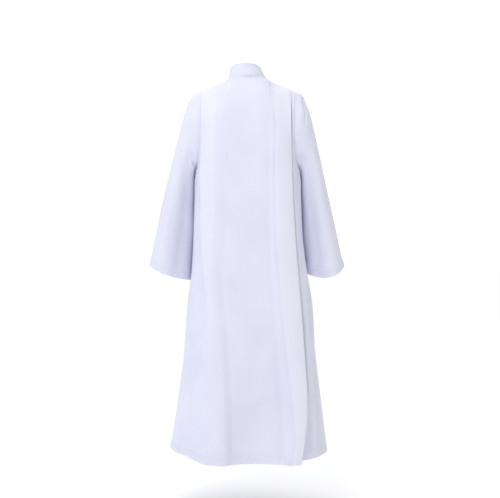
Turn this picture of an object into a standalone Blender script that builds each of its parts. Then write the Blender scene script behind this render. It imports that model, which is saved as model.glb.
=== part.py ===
"""A long white alb: back with two knife pleats, lapped fronts, bell sleeves and a stand collar.

Metres, +Z up. The front faces -Y and the wearer's left is at +X. The origin lies between
the shoulders, at the height of the neck seam, where the wearer's shoulders hold the garment.
Each piece is one closed wall of cloth, worked out from smooth sections of the worn garment.
"""
from collections import namedtuple
from math import pi

import bmesh
import bpy
import numpy as np

# ---- Driving dimensions -------------------------------------------------------------------

CLOTH = 0.0015            # thickness of each wall
SEAM_GAP = 0.0003         # left between pieces where they are sewn together
SEAM_SHARE = 0.7          # part of the gap by which each piece is drawn back at a seam
SPACING_STEP = 0.01       # share of the way round over which the cloth's spacing is taken
SHARP_ANGLE = 1.0         # edges bent further than this stay sharp

NECK_HALF_WIDTH = 0.075   # neck seam, seen from above
NECK_BACK = 0.058
NECK_FRONT = 0.068
SHOULDER_X = 0.188        # outer end of the shoulder seam
NECK_POINT_Z = -0.003     # shoulder seam at the neck and at its outer end
SHOULDER_Z = -0.048

ARMPIT_Z = -0.339         # bottom of the armhole, top of the side seam
ARMPIT_X = 0.196
SCOOP_LEFT = 0.007        # how far each armhole seam curves in between its two ends
SCOOP_RIGHT = 0.015
ARMHOLE_BACK = 0.084      # armhole's half depth behind and before the shoulder seam
ARMHOLE_FRONT = 0.080

HEM_Z = -1.425            # about the hem's height, where the tables below end

SQUARENESS = 0.12         # how much fuller than an ellipse each section of the body is

NECK_FAN = 0.120          # how the cloth's columns spread where they leave the neck seam,
NECK_SHARE = NECK_HALF_WIDTH / SHOULDER_X
FAN_REACH = 0.300         # and how far beyond the neck point that is felt

LAP = 0.015               # how far each front reaches past the centre
LAP_LIFT = 0.00095        # the upper front lies this far out, and the lower one this far in
LAP_EASE = 0.030          # width over which a front leaves its lap's level

CUFF_TURN = 0.004         # flare of the cuff's edge
SLEEVE_FULLNESS = 0.2     # how much flatter than an ellipse the sleeve's back and front are

# ---- Tables ---------------------------------------------------------------------------------

# Sections of the body from the armpit down: half widths on the wearer's left and right, and
# how far the back and the front stand off the middle plane.
Section = namedtuple("Section", "z left right back front")
BODY = (
    Section(-0.339, 0.196, 0.196, 0.142, 0.138),
    Section(-0.352, 0.199, 0.199, 0.142, 0.138),
    Section(-0.378, 0.203, 0.203, 0.142, 0.139),
    Section(-0.460, 0.205, 0.205, 0.143, 0.140),
    Section(-0.616, 0.209, 0.212, 0.147, 0.143),
    Section(-0.740, 0.216, 0.228, 0.158, 0.150),
    Section(-0.847, 0.229, 0.246, 0.172, 0.160),
    Section(-1.040, 0.243, 0.259, 0.195, 0.178),
    Section(-1.230, 0.269, 0.281, 0.217, 0.197),
    Section(-1.380, 0.292, 0.299, 0.234, 0.212),
    Section(-1.425, 0.300, 0.303, 0.239, 0.217),
)

# The hem's height behind and before, from the right side seam (share -1) to the left one (1).
Hem = namedtuple("Hem", "share back front")
HEM = (
    Hem(-1.00, -1.417, -1.417),
    Hem(-0.70, -1.421, -1.418),
    Hem(-0.48, -1.427, -1.416),
    Hem(-0.36, -1.430, -1.415),
    Hem(0.00, -1.431, -1.413),
    Hem(0.24, -1.431, -1.413),
    Hem(0.33, -1.429, -1.412),
    Hem(0.48, -1.417, -1.410),
    Hem(0.75, -1.409, -1.407),
    Hem(1.00, -1.406, -1.406),
)

# A knife pleat down the back. crest and under are how far its outer and inner folds lie from
# the middle plane; rise is half its height and turn the folds' radius.
Pleat = namedtuple("Pleat", "z crest under rise turn")
PLEAT_RIGHT = (
    Pleat(0.000, 0.162, 0.102, 0.0028, 0.0014),
    Pleat(-0.160, 0.162, 0.102, 0.0036, 0.0018),
    Pleat(-0.339, 0.162, 0.101, 0.0050, 0.0020),
    Pleat(-0.616, 0.173, 0.107, 0.0076, 0.0022),
    Pleat(-0.847, 0.188, 0.124, 0.0116, 0.0026),
    Pleat(-1.040, 0.199, 0.142, 0.0162, 0.0030),
    Pleat(-1.230, 0.205, 0.164, 0.0230, 0.0034),
    Pleat(-1.425, 0.182, 0.172, 0.0300, 0.0038),
)
PLEAT_LEFT = (
    Pleat(0.000, 0.173, 0.121, 0.0028, 0.0014),
    Pleat(-0.160, 0.175, 0.123, 0.0036, 0.0018),
    Pleat(-0.339, 0.176, 0.125, 0.0046, 0.0023),
    Pleat(-0.616, 0.171, 0.130, 0.0060, 0.0028),
    Pleat(-0.847, 0.146, 0.150, 0.0110, 0.0050),
    Pleat(-1.040, 0.122, 0.184, 0.0120, 0.0150),
    Pleat(-1.230, 0.106, 0.214, 0.0140, 0.0220),
    Pleat(-1.425, 0.104, 0.238, 0.0180, 0.0260),
)
BAND_LEAST = 0.85         # where a pleat has opened, its band ends this far along
RISE_SOON = 1.4           # the back is at the pleat's level a little before its band
CENTRE_SAG = 0.030        # how far the hem falls in between the two pleats
SAG_START = 0.600         # how far down that begins
SIDE_EASE = 0.55          # share of the way from a pleat to the side seam that eases out

# Soft vertical folds of the front: where they lie at the armpit and at the hem, as shares of
# the way from the centre to the side (left positive), their half width as such a share, how
# far they stand out at the hem and where down the front (1 armpit, 2 hem) they begin.
Fold = namedtuple("Fold", "armpit hem width height start")
FRONT_FOLDS = (
    Fold(-0.62, -0.66, 0.11, 0.016, 0.95),
    Fold(-0.30, -0.36, 0.10, -0.010, 1.15),
    Fold(-0.10, -0.16, 0.09, 0.013, 1.05),
    Fold(0.08, 0.12, 0.10, -0.008, 1.35),
    Fold(0.28, 0.34, 0.11, 0.015, 0.90),
    Fold(0.50, 0.56, 0.10, -0.009, 1.20),
    Fold(0.70, 0.76, 0.10, 0.011, 1.25),
)

# Sections of a sleeve from the armhole to the cuff: its outer and inner edges, seen from
# behind, its half depth, how far forward it lies, how much further its inner edge leans
# forward and how far its back and front hang below the line between its edges.
Cuff = namedtuple("Cuff", "outer_x outer_z inner_x inner_z depth forward lean drop")
SLEEVE_LEFT = (
    Cuff(0.188, -0.048, 0.196, -0.339, 0.082, 0.000, 0.000, 0.000),
    Cuff(0.210, -0.063, 0.205, -0.342, 0.080, 0.000, 0.000, 0.000),
    Cuff(0.226, -0.084, 0.207, -0.350, 0.078, 0.001, 0.001, 0.000),
    Cuff(0.239, -0.117, 0.208, -0.363, 0.076, 0.002, 0.004, 0.000),
    Cuff(0.251, -0.160, 0.2075, -0.383, 0.074, 0.004, 0.012, 0.000),
    Cuff(0.267, -0.220, 0.206, -0.410, 0.072, 0.006, 0.026, 0.000),
    Cuff(0.285, -0.288, 0.204, -0.447, 0.071, 0.009, 0.040, 0.000),
    Cuff(0.303, -0.360, 0.2025, -0.490, 0.070, 0.012, 0.052, 0.000),
    Cuff(0.321, -0.434, 0.200, -0.538, 0.070, 0.015, 0.060, 0.000),
    Cuff(0.338, -0.507, 0.202, -0.590, 0.071, 0.018, 0.062, 0.000),
    Cuff(0.353, -0.580, 0.207, -0.646, 0.072, 0.020, 0.064, 0.001),
    Cuff(0.367, -0.650, 0.212, -0.708, 0.073, 0.022, 0.064, 0.005),
    Cuff(0.379, -0.716, 0.217, -0.773, 0.074, 0.024, 0.064, 0.009),
)
SLEEVE_RIGHT = (
    Cuff(0.188, -0.048, 0.196, -0.339, 0.082, 0.000, 0.000, 0.000),
    Cuff(0.210, -0.059, 0.205, -0.342, 0.080, 0.000, 0.000, 0.000),
    Cuff(0.223, -0.088, 0.207, -0.350, 0.078, 0.001, 0.001, 0.000),
    Cuff(0.236, -0.122, 0.208, -0.363, 0.076, 0.002, 0.004, 0.000),
    Cuff(0.248, -0.165, 0.2075, -0.383, 0.074, 0.004, 0.012, 0.000),
    Cuff(0.262, -0.226, 0.206, -0.410, 0.072, 0.006, 0.026, 0.000),
    Cuff(0.278, -0.294, 0.204, -0.446, 0.071, 0.009, 0.040, 0.000),
    Cuff(0.294, -0.366, 0.2025, -0.487, 0.070, 0.012, 0.052, 0.000),
    Cuff(0.310, -0.438, 0.204, -0.533, 0.070, 0.015, 0.060, 0.000),
    Cuff(0.326, -0.510, 0.209, -0.583, 0.071, 0.018, 0.062, 0.004),
    Cuff(0.342, -0.582, 0.215, -0.635, 0.072, 0.020, 0.064, 0.010),
    Cuff(0.357, -0.653, 0.222, -0.688, 0.073, 0.022, 0.064, 0.018),
    Cuff(0.371, -0.720, 0.229, -0.742, 0.074, 0.024, 0.064, 0.030),
)

# The collar's seam and top edge: half widths, and heights at the back, side and front.
Band = namedtuple("Band", "half_width back front shift z_back z_side z_front")
COLLAR_SEAM = Band(NECK_HALF_WIDTH, NECK_BACK, NECK_FRONT, 0.000, -0.003, NECK_POINT_Z, -0.046)
COLLAR_TOP = Band(0.060, 0.050, 0.058, 0.009, 0.057, 0.038, 0.008)

# ---- How finely each piece is divided -----------------------------------------------------------

YOKE_ROWS = 12            # from the shoulder down to the armpit
SKIRT_ROWS = 12           # from the armpit to the hem
NECK_STEPS = 6            # from the centre to the neck point
BACK_STEPS = 2            # from the neck point to a pleat's band
BAND_STEPS = 3            # across each of a pleat's three layers
FOLD_STEPS = 4            # round each fold of a pleat
SIDE_STEPS = 5            # from a pleat's band to the side seam
FRONT_STEPS = 9           # from the neck point to the side seam
SLEEVE_ROWS = 14
COLLAR_ROWS = 4

# ---- Curves -----------------------------------------------------------------------------------


def ease(share):
    """Smooth step from 0 to 1."""
    share = np.clip(share, 0.0, 1.0)
    return share * share * (3.0 - 2.0 * share)


def through(places, values, at):
    """Smooth curve through values given at rising places."""
    places = np.asarray(places, float)
    values = np.asarray(values, float)
    slopes = np.gradient(values, places)
    at = np.clip(at, places[0], places[-1])
    k = int(np.clip(np.searchsorted(places, at) - 1, 0, len(places) - 2))
    span = places[k + 1] - places[k]
    t = (at - places[k]) / span
    start = values[k] * (1 + 2 * t) * (1 - t) ** 2 + slopes[k] * span * t * (1 - t) ** 2
    end = values[k + 1] * t * t * (3 - 2 * t) - slopes[k + 1] * span * t * t * (1 - t)
    return start + end


def column(table, name, z):
    """A table's column at height z; tables run from the top down."""
    depths = [-row.z for row in table]
    return through(depths, [getattr(row, name) for row in table], -z)


def unit(vectors):
    """Vectors made one unit long."""
    return vectors / np.linalg.norm(vectors, axis=-1, keepdims=True)


# ---- The body's smooth surface ------------------------------------------------------------------


def ring_point(q, z, face):
    """Body section at height z. q runs from -1 (right side) over 0 (centre) to 1 (left side);
    face is 1 on the back and -1 on the front."""
    angle = q * pi / 2
    half = column(BODY, "left" if q > 0 else "right", z)
    middle = 0.5 * (column(BODY, "left", z) + column(BODY, "right", z))
    width = middle + (half - middle) * np.sin(angle) ** 2
    depth = column(BODY, "back" if face > 0 else "front", z)
    x = width * np.sin(angle) * (1 + SQUARENESS * np.cos(angle) ** 2)
    y = face * depth * np.cos(angle) * (1 + SQUARENESS * np.sin(angle) ** 2)
    return np.array([x, y, z])


def collar_point(band, turn):
    """Point of a collar ring. turn is 0 at the back, a half turn at the front, left positive."""
    depth = band.back if np.cos(turn) > 0 else band.front
    mean = (band.z_back + band.z_front) / 2
    z = (mean + band.z_side) / 2 + (band.z_back - band.z_front) / 2 * np.cos(turn)
    z += (mean - band.z_side) / 2 * np.cos(2 * turn)
    return np.array([band.shift + band.half_width * np.sin(turn), depth * np.cos(turn), z])


def top_x(q):
    """How far from the centre the column q starts at the top."""
    return q * SHOULDER_X


def top_point(q, face):
    """Start of the column q, on the neck seam or on the shoulder seam."""
    x = top_x(q)
    if abs(x) <= NECK_HALF_WIDTH:
        turn = np.arcsin(x / NECK_HALF_WIDTH)
        return collar_point(COLLAR_SEAM, turn if face > 0 else pi - turn)
    share = (abs(x) - NECK_HALF_WIDTH) / (SHOULDER_X - NECK_HALF_WIDTH)
    return np.array([x, 0.0, NECK_POINT_Z + share * (SHOULDER_Z - NECK_POINT_Z)])


def armhole_point(side, v, face):
    """Armhole seam, from the shoulder (v 0) to the armpit (v 1)."""
    depth = ARMHOLE_BACK if face > 0 else ARMHOLE_FRONT
    x = (SHOULDER_X + ARMPIT_X) / 2 + (SHOULDER_X - ARMPIT_X) / 2 * np.cos(v * pi)
    x -= (SCOOP_LEFT if side > 0 else SCOOP_RIGHT) * np.sin(v * pi)
    z = (SHOULDER_Z + ARMPIT_Z) / 2 + (SHOULDER_Z - ARMPIT_Z) / 2 * np.cos(v * pi)
    return np.array([side * x, face * depth * np.sin(v * pi), z])


def yoke_point(q, v, face):
    """Body above the armpit: v runs from 0 at the top to 1 at the armpit's height."""
    top = top_point(q, face)
    foot = ring_point(q, ARMPIT_Z, face)
    point = foot + (top - foot) * np.cos(v * pi / 2)
    point[1] = foot[1] * np.sin(v * pi / 2) + top[1] * (1 - np.sin(v * pi / 2)) ** 2
    side = 1.0 if q > 0 else -1.0
    # Columns leave the neck seam squarely, not along it.
    spread = ease(abs(q) / NECK_SHARE) * (1 - ease((abs(q) - NECK_SHARE) / FAN_REACH))
    point[0] += side * NECK_FAN * spread * v * (1 - v) ** 4
    straight = np.array([
        side * (ARMPIT_X + (SHOULDER_X - ARMPIT_X) * np.cos(v * pi / 2)),
        0.0,
        ARMPIT_Z + (SHOULDER_Z - ARMPIT_Z) * np.cos(v * pi / 2)])
    return point + q * q * (armhole_point(side, v, face) - straight)


def hem_height(q, face):
    """The hem's height at the column q."""
    heights = [row.back if face > 0 else row.front for row in HEM]
    return through([row.share for row in HEM], heights, q)


def quarter_girth(z, face):
    """About how far it is round the body from the centre to the side, at height z."""
    return np.linalg.norm(ring_point(0.5, min(z, ARMPIT_Z), face)[:2]) * pi / 2


def body_point(q, v, face):
    """The body's smooth surface: v is 0 at the top, 1 at the armpit and 2 at the hem."""
    if v <= 1:
        return yoke_point(q, v, face)
    return ring_point(q, ARMPIT_Z + (hem_height(q, face) - ARMPIT_Z) * (v - 1), face)


def lifted(q, v, face, lift):
    """A point that stands off the body's smooth surface by lift."""
    step = 0.004
    low = max(v - step, 0.0)
    high = min(v + step, 2.0)
    across = body_point(min(q + step, 1.0), v, face) - body_point(max(q - step, -1.0), v, face)
    down = body_point(q, high, face) - body_point(q, low, face)
    normal = unit(np.cross(across, down)) * face
    return body_point(q, v, face) + normal * lift


# ---- The back, with its pleats ------------------------------------------------------------------


def neck_shares():
    """Columns q of the neck seam from the centre to the neck point."""
    return [NECK_SHARE * np.sin(k / NECK_STEPS * pi / 2) for k in range(NECK_STEPS + 1)]


def arc(centre_across, centre_up, radius, start, end, steps):
    """Points round a fold, as (distance across, lift)."""
    angles = np.linspace(start, end, steps + 1)
    return [(centre_across + radius * np.cos(a), centre_up + radius * np.sin(a)) for a in angles]


def steps_between(start, end, steps):
    """Evenly spaced places from start on, without the end."""
    return [start + (end - start) * k / steps for k in range(steps)]


def share_at(x, v, side):
    """Column q of the back that lies x from the middle plane at row v."""
    shares = np.linspace(0, 1, 41)
    reach = [abs(body_point(side * q, v, 1)[0]) for q in shares]
    return np.interp(x, reach, shares)


def pleat_path(table, v, neck, side):
    """Half of the back at row v, from the centre to the side, as (share q, lift)."""
    z = body_point(side * NECK_SHARE, v, 1)[2]
    crest, under, rise, turn = (column(table, name, z) for name in ("crest", "under", "rise", "turn"))
    crest_share = share_at(crest, v, side)
    # Distances across are worked out from shares with the cloth's spacing at the crest.
    ahead = body_point(side * (crest_share + SPACING_STEP), v, 1)
    around = np.linalg.norm(ahead - body_point(side * crest_share, v, 1)) / SPACING_STEP
    crest_at = crest_share * around
    under_at = share_at(under, v, side) * around
    # The two folds are circles, joined by the straight line that crosses between them.
    gap = np.array([crest_at - under_at, 2 * rise - 2 * turn])
    slope = np.arctan2(gap[1], gap[0]) % (2 * pi) - np.arcsin(min(2 * turn / np.hypot(*gap), 1.0))
    outer = arc(crest_at, rise - turn, turn, pi / 2, slope - pi / 2, FOLD_STEPS)
    inner = arc(under_at, turn - rise, turn, slope + pi / 2, 3 * pi / 2, FOLD_STEPS)
    # The three layers of the pleat are divided at the same places.
    band_at = min(under_at, crest_at * BAND_LEAST)
    band_end = max(crest_at, under_at + (around - under_at) * (1 - BAND_LEAST))
    scale = band_at * SHOULDER_X / table[0].under
    inwards = [q * scale for q in neck[:-1]]
    inwards += steps_between(neck[-1] * scale, band_at, BACK_STEPS)
    inwards += steps_between(band_at, crest_at, BAND_STEPS)
    fall = ease((-z - SAG_START) / (-HEM_Z - SAG_START)) * CENTRE_SAG
    path = []
    for across in inwards:
        beyond = RISE_SOON * (across - inwards[NECK_STEPS]) / (band_at - inwards[NECK_STEPS])
        path.append((across, rise * ease(beyond) - fall * (1 - ease(across / crest_at))))
    path += outer
    for k in range(1, BAND_STEPS):
        t = k / BAND_STEPS
        path.append(tuple((1 - t) * np.array(outer[-1]) + t * np.array(inner[0])))
    path += inner
    outwards = steps_between(under_at, band_end, BAND_STEPS)[1:]
    outwards += steps_between(band_end, around, SIDE_STEPS) + [around]
    for across in outwards:
        eased = ease((across - band_end) / (around - band_end) / SIDE_EASE)
        path.append((across, -rise * (1 - eased)))
    return [(across / around, lift) for across, lift in path]


def back_grid(neck):
    """Middle surface of the back: rows from the top to the hem, columns from right to left."""
    rows = []
    for v in row_levels():
        right = pleat_path(PLEAT_RIGHT, v, neck, -1)
        left = pleat_path(PLEAT_LEFT, v, neck, 1)
        row = [lifted(-q, v, 1, lift) for q, lift in reversed(right[1:])]
        row += [lifted(q, v, 1, lift) for q, lift in left]
        rows.append(row)
    return np.array(rows)


def row_levels():
    """The body's rows: evenly turned over the shoulder, then evenly spaced down to the hem."""
    return list(np.linspace(0, 1, YOKE_ROWS + 1)) + list(np.linspace(1, 2, SKIRT_ROWS + 1)[1:])


# ---- The fronts ---------------------------------------------------------------------------------


def front_lift(q, v):
    """Soft vertical folds of the front, growing towards the hem."""
    lift = 0.0
    for fold in FRONT_FOLDS:
        middle = fold.armpit + (fold.hem - fold.armpit) * (v - 1)
        grow = ease((v - fold.start) / (2 - fold.start))
        lift += fold.height * grow * np.exp(-((q - middle) / fold.width) ** 2)
    return lift * (1 - q ** 4)


def lap_level(side, q, around):
    """How far a front lies out or in, at and near its lap."""
    return side * LAP_LIFT * (1 - ease((q * around - LAP) / LAP_EASE))


def front_shares(around, neck):
    """Columns of a front, from its lap past the centre to the side seam."""
    lap = LAP / around
    outwards = list(neck) + list(np.linspace(neck[-1], 1.0, FRONT_STEPS + 1)[1:])
    return [-lap, -lap / 3, lap / 3, lap] + outwards[1:]


def front_grid(side, neck):
    """Middle surface of one front, from its lap past the centre to its side seam."""
    rows = []
    for v in row_levels():
        around = quarter_girth(body_point(0.0, v, -1)[2], -1)
        row = []
        for q in front_shares(around, neck):
            level = lap_level(side, q, around)
            if v == 0:
                spread = neck_spread(side * q, -1) if q <= neck[-1] else np.zeros(3)
                row.append(body_point(side * q, v, -1) + spread * level)
            else:
                row.append(lifted(side * q, v, -1, level + front_lift(side * q, v)))
        rows.append(row)
    return np.array(rows)


# ---- Sleeves and collar -------------------------------------------------------------------------


def sleeve_grid(table, side):
    """Middle surface of a sleeve: rows from the armhole to the cuff, columns all the way round."""
    places = np.arange(len(table))
    turns = list(np.linspace(0, 1, YOKE_ROWS + 1))
    rows = []
    for t in np.linspace(0, places[-1], SLEEVE_ROWS + 1):
        cut = Cuff(*(through(places, [getattr(row, name) for row in table], t)
                     for name in Cuff._fields))
        start = 1 - ease(t / 3.0)
        fullness = SLEEVE_FULLNESS * ease((t - 1.7) / 3.0)
        flare = CUFF_TURN * ease((t - places[-1] + 1) / 1)
        outer = np.array([cut.outer_x + flare, 0, cut.outer_z])
        inner = np.array([cut.inner_x - flare / 4, 0, cut.inner_z])
        ring = []
        for face, steps in ((1, turns[:-1]), (-1, turns[:0:-1])):
            armhole = ARMHOLE_BACK if face > 0 else ARMHOLE_FRONT
            for v in steps:
                depth = cut.depth + (armhole - cut.depth) * start + flare
                point = (outer + inner) / 2 + (outer - inner) / 2 * np.cos(v * pi)
                point[0] -= (SCOOP_LEFT if side > 0 else SCOOP_RIGHT) * np.sin(v * pi) * start
                point[1] = face * depth * np.sin(v * pi) ** (1 - fullness)
                point[1] -= cut.forward + cut.lean * ((1 - np.cos(v * pi)) / 2) ** 2
                point[2] -= cut.drop * np.sin(v * pi) ** 2
                ring.append([side * point[0], point[1], point[2]])
        rows.append(ring)
    return np.array(rows)


def neck_turn(q, face):
    """Direction of a neck seam's column, 0 at the back and a half turn at the front."""
    turn = np.arcsin(np.clip(top_x(q) / NECK_HALF_WIDTH, -1.0, 1.0))
    return turn if face > 0 else pi - turn


def neck_spread(q, face):
    """Outwards and upwards from the neck seam, one unit each way."""
    turn = neck_turn(q, face)
    return np.array([np.sin(turn), np.cos(turn), 1.0])


def collar_grid(neck):
    """Middle surface of the collar: rows upwards, columns from the left end to the right."""
    around = quarter_girth(ARMPIT_Z, -1)
    front = [q for q in front_shares(around, neck) if q <= neck[-1]]
    stations = [(neck_turn(q, -1), lap_level(1, q, around)) for q in front]
    stations += [(neck_turn(q, 1), 0.0) for q in reversed(neck[:-1])]
    stations += [(-neck_turn(q, 1), 0.0) for q in neck[1:-1]]
    stations += [(-neck_turn(q, -1), lap_level(-1, q, around)) for q in reversed(front)]
    rows = []
    for share in np.linspace(0, 1, COLLAR_ROWS + 1):
        row = []
        for turn, level in stations:
            foot = collar_point(COLLAR_SEAM, turn)
            point = foot + (collar_point(COLLAR_TOP, turn) - foot) * share
            point += level * np.array([np.sin(turn), np.cos(turn), 1 - share])
            row.append(point)
        rows.append(row)
    return np.array(rows)


# ---- Walls ------------------------------------------------------------------------------------


def wall_normals(grid, closed, outward):
    """Normals of a middle surface at its points; outward is 1 or -1."""
    if closed:
        grid = np.concatenate([grid, grid[:, :1]], axis=1)
    cross = np.cross(grid[:-1, 1:] - grid[1:, :-1], grid[1:, 1:] - grid[:-1, :-1]) * outward
    normals = np.zeros_like(grid)
    for down in (slice(0, -1), slice(1, None)):
        for across in (slice(0, -1), slice(1, None)):
            normals[down, across] += cross
    if closed:
        normals[:, 0] += normals[:, -1]
        normals = normals[:, :-1]
    return unit(normals)


def wall(name, grid, normals, closed, mirrored, colour):
    """One piece of cloth: a closed wall round its middle surface. The cells in the mirrored
    columns are divided along their other diagonal."""
    rows, columns = grid.shape[:2]
    faces = []
    last = columns if closed else columns - 1
    other = rows * columns
    for r in range(rows - 1):
        for c in range(last):
            a, b = r * columns + c, r * columns + (c + 1) % columns
            d, e = a + columns, b + columns
            halves = ((a, b, d), (b, e, d)) if c in mirrored else ((a, b, e), (a, e, d))
            for p, q, s in halves:
                faces += [(p, q, s), (other + p, other + s, other + q)]
    for c in range(last):
        for row, near, far in ((0, other, 0), (rows - 1, 0, other)):
            a, b = row * columns + c, row * columns + (c + 1) % columns
            faces.append((near + a, near + b, far + b, far + a))
    if not closed:
        for r in range(rows - 1):
            for col, near, far in ((0, 0, other), (columns - 1, other, 0)):
                a = r * columns + col
                faces.append((near + a, near + a + columns, far + a + columns, far + a))
    outer = (grid + normals * CLOTH / 2).reshape(-1, 3)
    inner = (grid - normals * CLOTH / 2).reshape(-1, 3)
    mesh = bpy.data.meshes.new(name)
    mesh.from_pydata(np.concatenate([outer, inner]).tolist(), [], faces)
    solid = bpy.data.objects.new(name, mesh)
    bpy.context.scene.collection.objects.link(solid)
    shape = bmesh.new()
    shape.from_mesh(mesh)
    bmesh.ops.recalc_face_normals(shape, faces=shape.faces)
    shape.to_mesh(mesh)
    shape.free()
    mesh.shade_smooth()
    mesh.set_sharp_from_angle(angle=SHARP_ANGLE)
    mesh.materials.append(cloth_material(name + "_cloth", colour))
    return solid


def cloth_material(name, colour):
    """Matt woven cloth."""
    material = bpy.data.materials.new(name)
    material.use_nodes = True
    shader = material.node_tree.nodes["Principled BSDF"]
    shader.inputs["Base Color"].default_value = (*colour, 1.0)
    shader.inputs["Roughness"].default_value = 0.85
    shader.inputs["Metallic"].default_value = 0.0
    return material


# ---- Seams ------------------------------------------------------------------------------------


def towards(start, end):
    """Unit direction from one point to another."""
    return unit(np.asarray(end) - np.asarray(start))


def share_normals(pairs):
    """Gives points that meet at a seam one normal, so that their edges stay parallel."""
    for places in pairs:
        panels = unit(sum(normals[index] for normals, index in places[:-1]))
        common = unit(panels + places[-1][0][places[-1][1]])
        for normals, index in places:
            normals[index] = common


def open_panel_seams(grid, normals, neck_columns, side_columns):
    """Draws a body panel back from its neighbours: neck, shoulder, armhole and side seams."""
    moved = grid.copy()
    for c in range(grid.shape[1]):
        away = towards(grid[0, c], grid[1, c])
        if c in neck_columns:
            outwards = unit(grid[0, c] * np.array([1, 1, 0]))
            away = unit(away + outwards)
            normals[0, c] = unit(outwards + np.array([0, 0, 1]))
        else:
            normals[0, c] = unit(normals[0, c] * np.array([1, 0, 1]))
        moved[0, c] += away * SEAM_GAP * SEAM_SHARE
    for c, inner in side_columns:
        for r in range(grid.shape[0]):
            moved[r, c] += towards(grid[r, c], grid[r, inner]) * SEAM_GAP * SEAM_SHARE
        moved[YOKE_ROWS, c, 2] -= SEAM_GAP * SEAM_SHARE
    return moved


def main():
    """Builds the alb's six pieces."""
    for old in list(bpy.data.objects):
        bpy.data.objects.remove(old, do_unlink=True)
    neck = neck_shares()
    back = back_grid(neck)
    left = front_grid(1, neck)
    right = front_grid(-1, neck)
    sleeve_left = sleeve_grid(SLEEVE_LEFT, 1)
    sleeve_right = sleeve_grid(SLEEVE_RIGHT, -1)
    collar = collar_grid(neck)
    back_n = wall_normals(back, False, 1)
    left_n = wall_normals(left, False, -1)
    right_n = wall_normals(right, False, 1)
    sleeve_left_n = wall_normals(sleeve_left, True, -1)
    sleeve_right_n = wall_normals(sleeve_right, True, 1)
    collar_n = wall_normals(collar, False, 1)

    end = back.shape[1] - 1
    middle = end // 2
    front_neck = range(0, 4 + NECK_STEPS)
    back_neck = range(middle - NECK_STEPS, middle + NECK_STEPS + 1)
    front_end = left.shape[1] - 1
    back = open_panel_seams(back, back_n, back_neck, ((0, 1), (end, end - 1)))
    left = open_panel_seams(left, left_n, front_neck, ((front_end, front_end - 1),))
    right = open_panel_seams(right, right_n, front_neck, ((front_end, front_end - 1),))
    for sleeve in (sleeve_left, sleeve_right):
        for c in range(sleeve.shape[1]):
            sleeve[0, c] += towards(sleeve[0, c], sleeve[1, c]) * SEAM_GAP * SEAM_SHARE
    collar[0, :, 2] += SEAM_GAP * SEAM_SHARE

    seams = []
    for front_n, sleeve_n, side in ((left_n, sleeve_left_n, end), (right_n, sleeve_right_n, 0)):
        for r in range(YOKE_ROWS + 1):
            behind = (back_n, (r, side))
            before = (front_n, (r, front_end))
            sleeve_back = (sleeve_n, (0, r))
            sleeve_front = (sleeve_n, (0, (2 * YOKE_ROWS - r) % (2 * YOKE_ROWS)))
            if r in (0, YOKE_ROWS):
                seams.append((behind, before, sleeve_back))
            else:
                seams += [(behind, sleeve_back), (before, sleeve_front)]
        for r in range(YOKE_ROWS + 1, back.shape[0]):
            seams.append(((back_n, (r, side)), (front_n, (r, front_end))))
    share_normals(seams)
    for c in range(collar.shape[1]):
        outwards = unit(collar[0, c] * np.array([1, 1, 0]))
        collar_n[0, c] = unit(outwards + np.array([0, 0, 1]))

    # Layers that lie on each other are divided alike.
    fold_from = middle + NECK_STEPS + BACK_STEPS + BAND_STEPS + FOLD_STEPS // 2
    fold_cells = range(fold_from, fold_from + FOLD_STEPS + BAND_STEPS)
    mirrored = {c for c in range(middle, end) if c not in fold_cells}
    mirrored |= {end - 1 - c for c in fold_cells}
    every = range(front_end)
    half_round = range(YOKE_ROWS, 2 * YOKE_ROWS)
    wall("back", back, back_n, False, mirrored, (0.86, 0.86, 0.93))
    wall("front_left", left, left_n, False, every, (0.84, 0.85, 0.92))
    wall("front_right", right, right_n, False, every, (0.82, 0.83, 0.90))
    wall("sleeve_left", sleeve_left, sleeve_left_n, True, half_round, (0.84, 0.84, 0.91))
    wall("sleeve_right", sleeve_right, sleeve_right_n, True, half_round, (0.84, 0.84, 0.91))
    wall("collar", collar, collar_n, False, every, (0.87, 0.87, 0.94))


main()
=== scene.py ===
"""Cloth, seams and studio stage of a long white alb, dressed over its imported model.

Metres, +Z up; the front faces -Y and the wearer's left is at +X. Every piece is a thin wall of
cloth on the form of its solid, cut much finer, with its creases, turned-up hems and stitching.
"""
from collections import namedtuple
from math import pi

import bpy
import numpy as np
from bpy.props import FloatProperty, FloatVectorProperty, PointerProperty
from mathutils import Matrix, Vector


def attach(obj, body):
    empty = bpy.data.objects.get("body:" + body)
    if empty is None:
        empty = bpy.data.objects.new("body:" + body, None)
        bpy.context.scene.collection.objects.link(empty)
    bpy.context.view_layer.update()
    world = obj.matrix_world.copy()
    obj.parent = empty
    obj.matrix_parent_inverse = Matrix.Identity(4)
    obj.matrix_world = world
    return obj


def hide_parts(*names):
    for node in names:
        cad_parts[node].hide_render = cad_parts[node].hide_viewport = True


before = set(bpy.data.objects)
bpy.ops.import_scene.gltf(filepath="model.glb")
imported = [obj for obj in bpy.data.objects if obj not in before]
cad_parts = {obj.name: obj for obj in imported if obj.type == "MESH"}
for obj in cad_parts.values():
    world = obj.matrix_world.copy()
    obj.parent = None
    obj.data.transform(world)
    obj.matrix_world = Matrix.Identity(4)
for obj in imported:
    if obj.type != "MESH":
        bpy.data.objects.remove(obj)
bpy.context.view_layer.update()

bl_info = {
    "name": "Pleated white alb",
    "version": (1, 0, 0),
    "blender": (4, 5, 0),
    "location": "View3D > Sidebar > Alb",
    "description": "Builds a long white alb with its pleats, creases, hems and stitching",
    "category": "Object",
}

# ---- Form of the garment, the same as that of its solids ----

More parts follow.
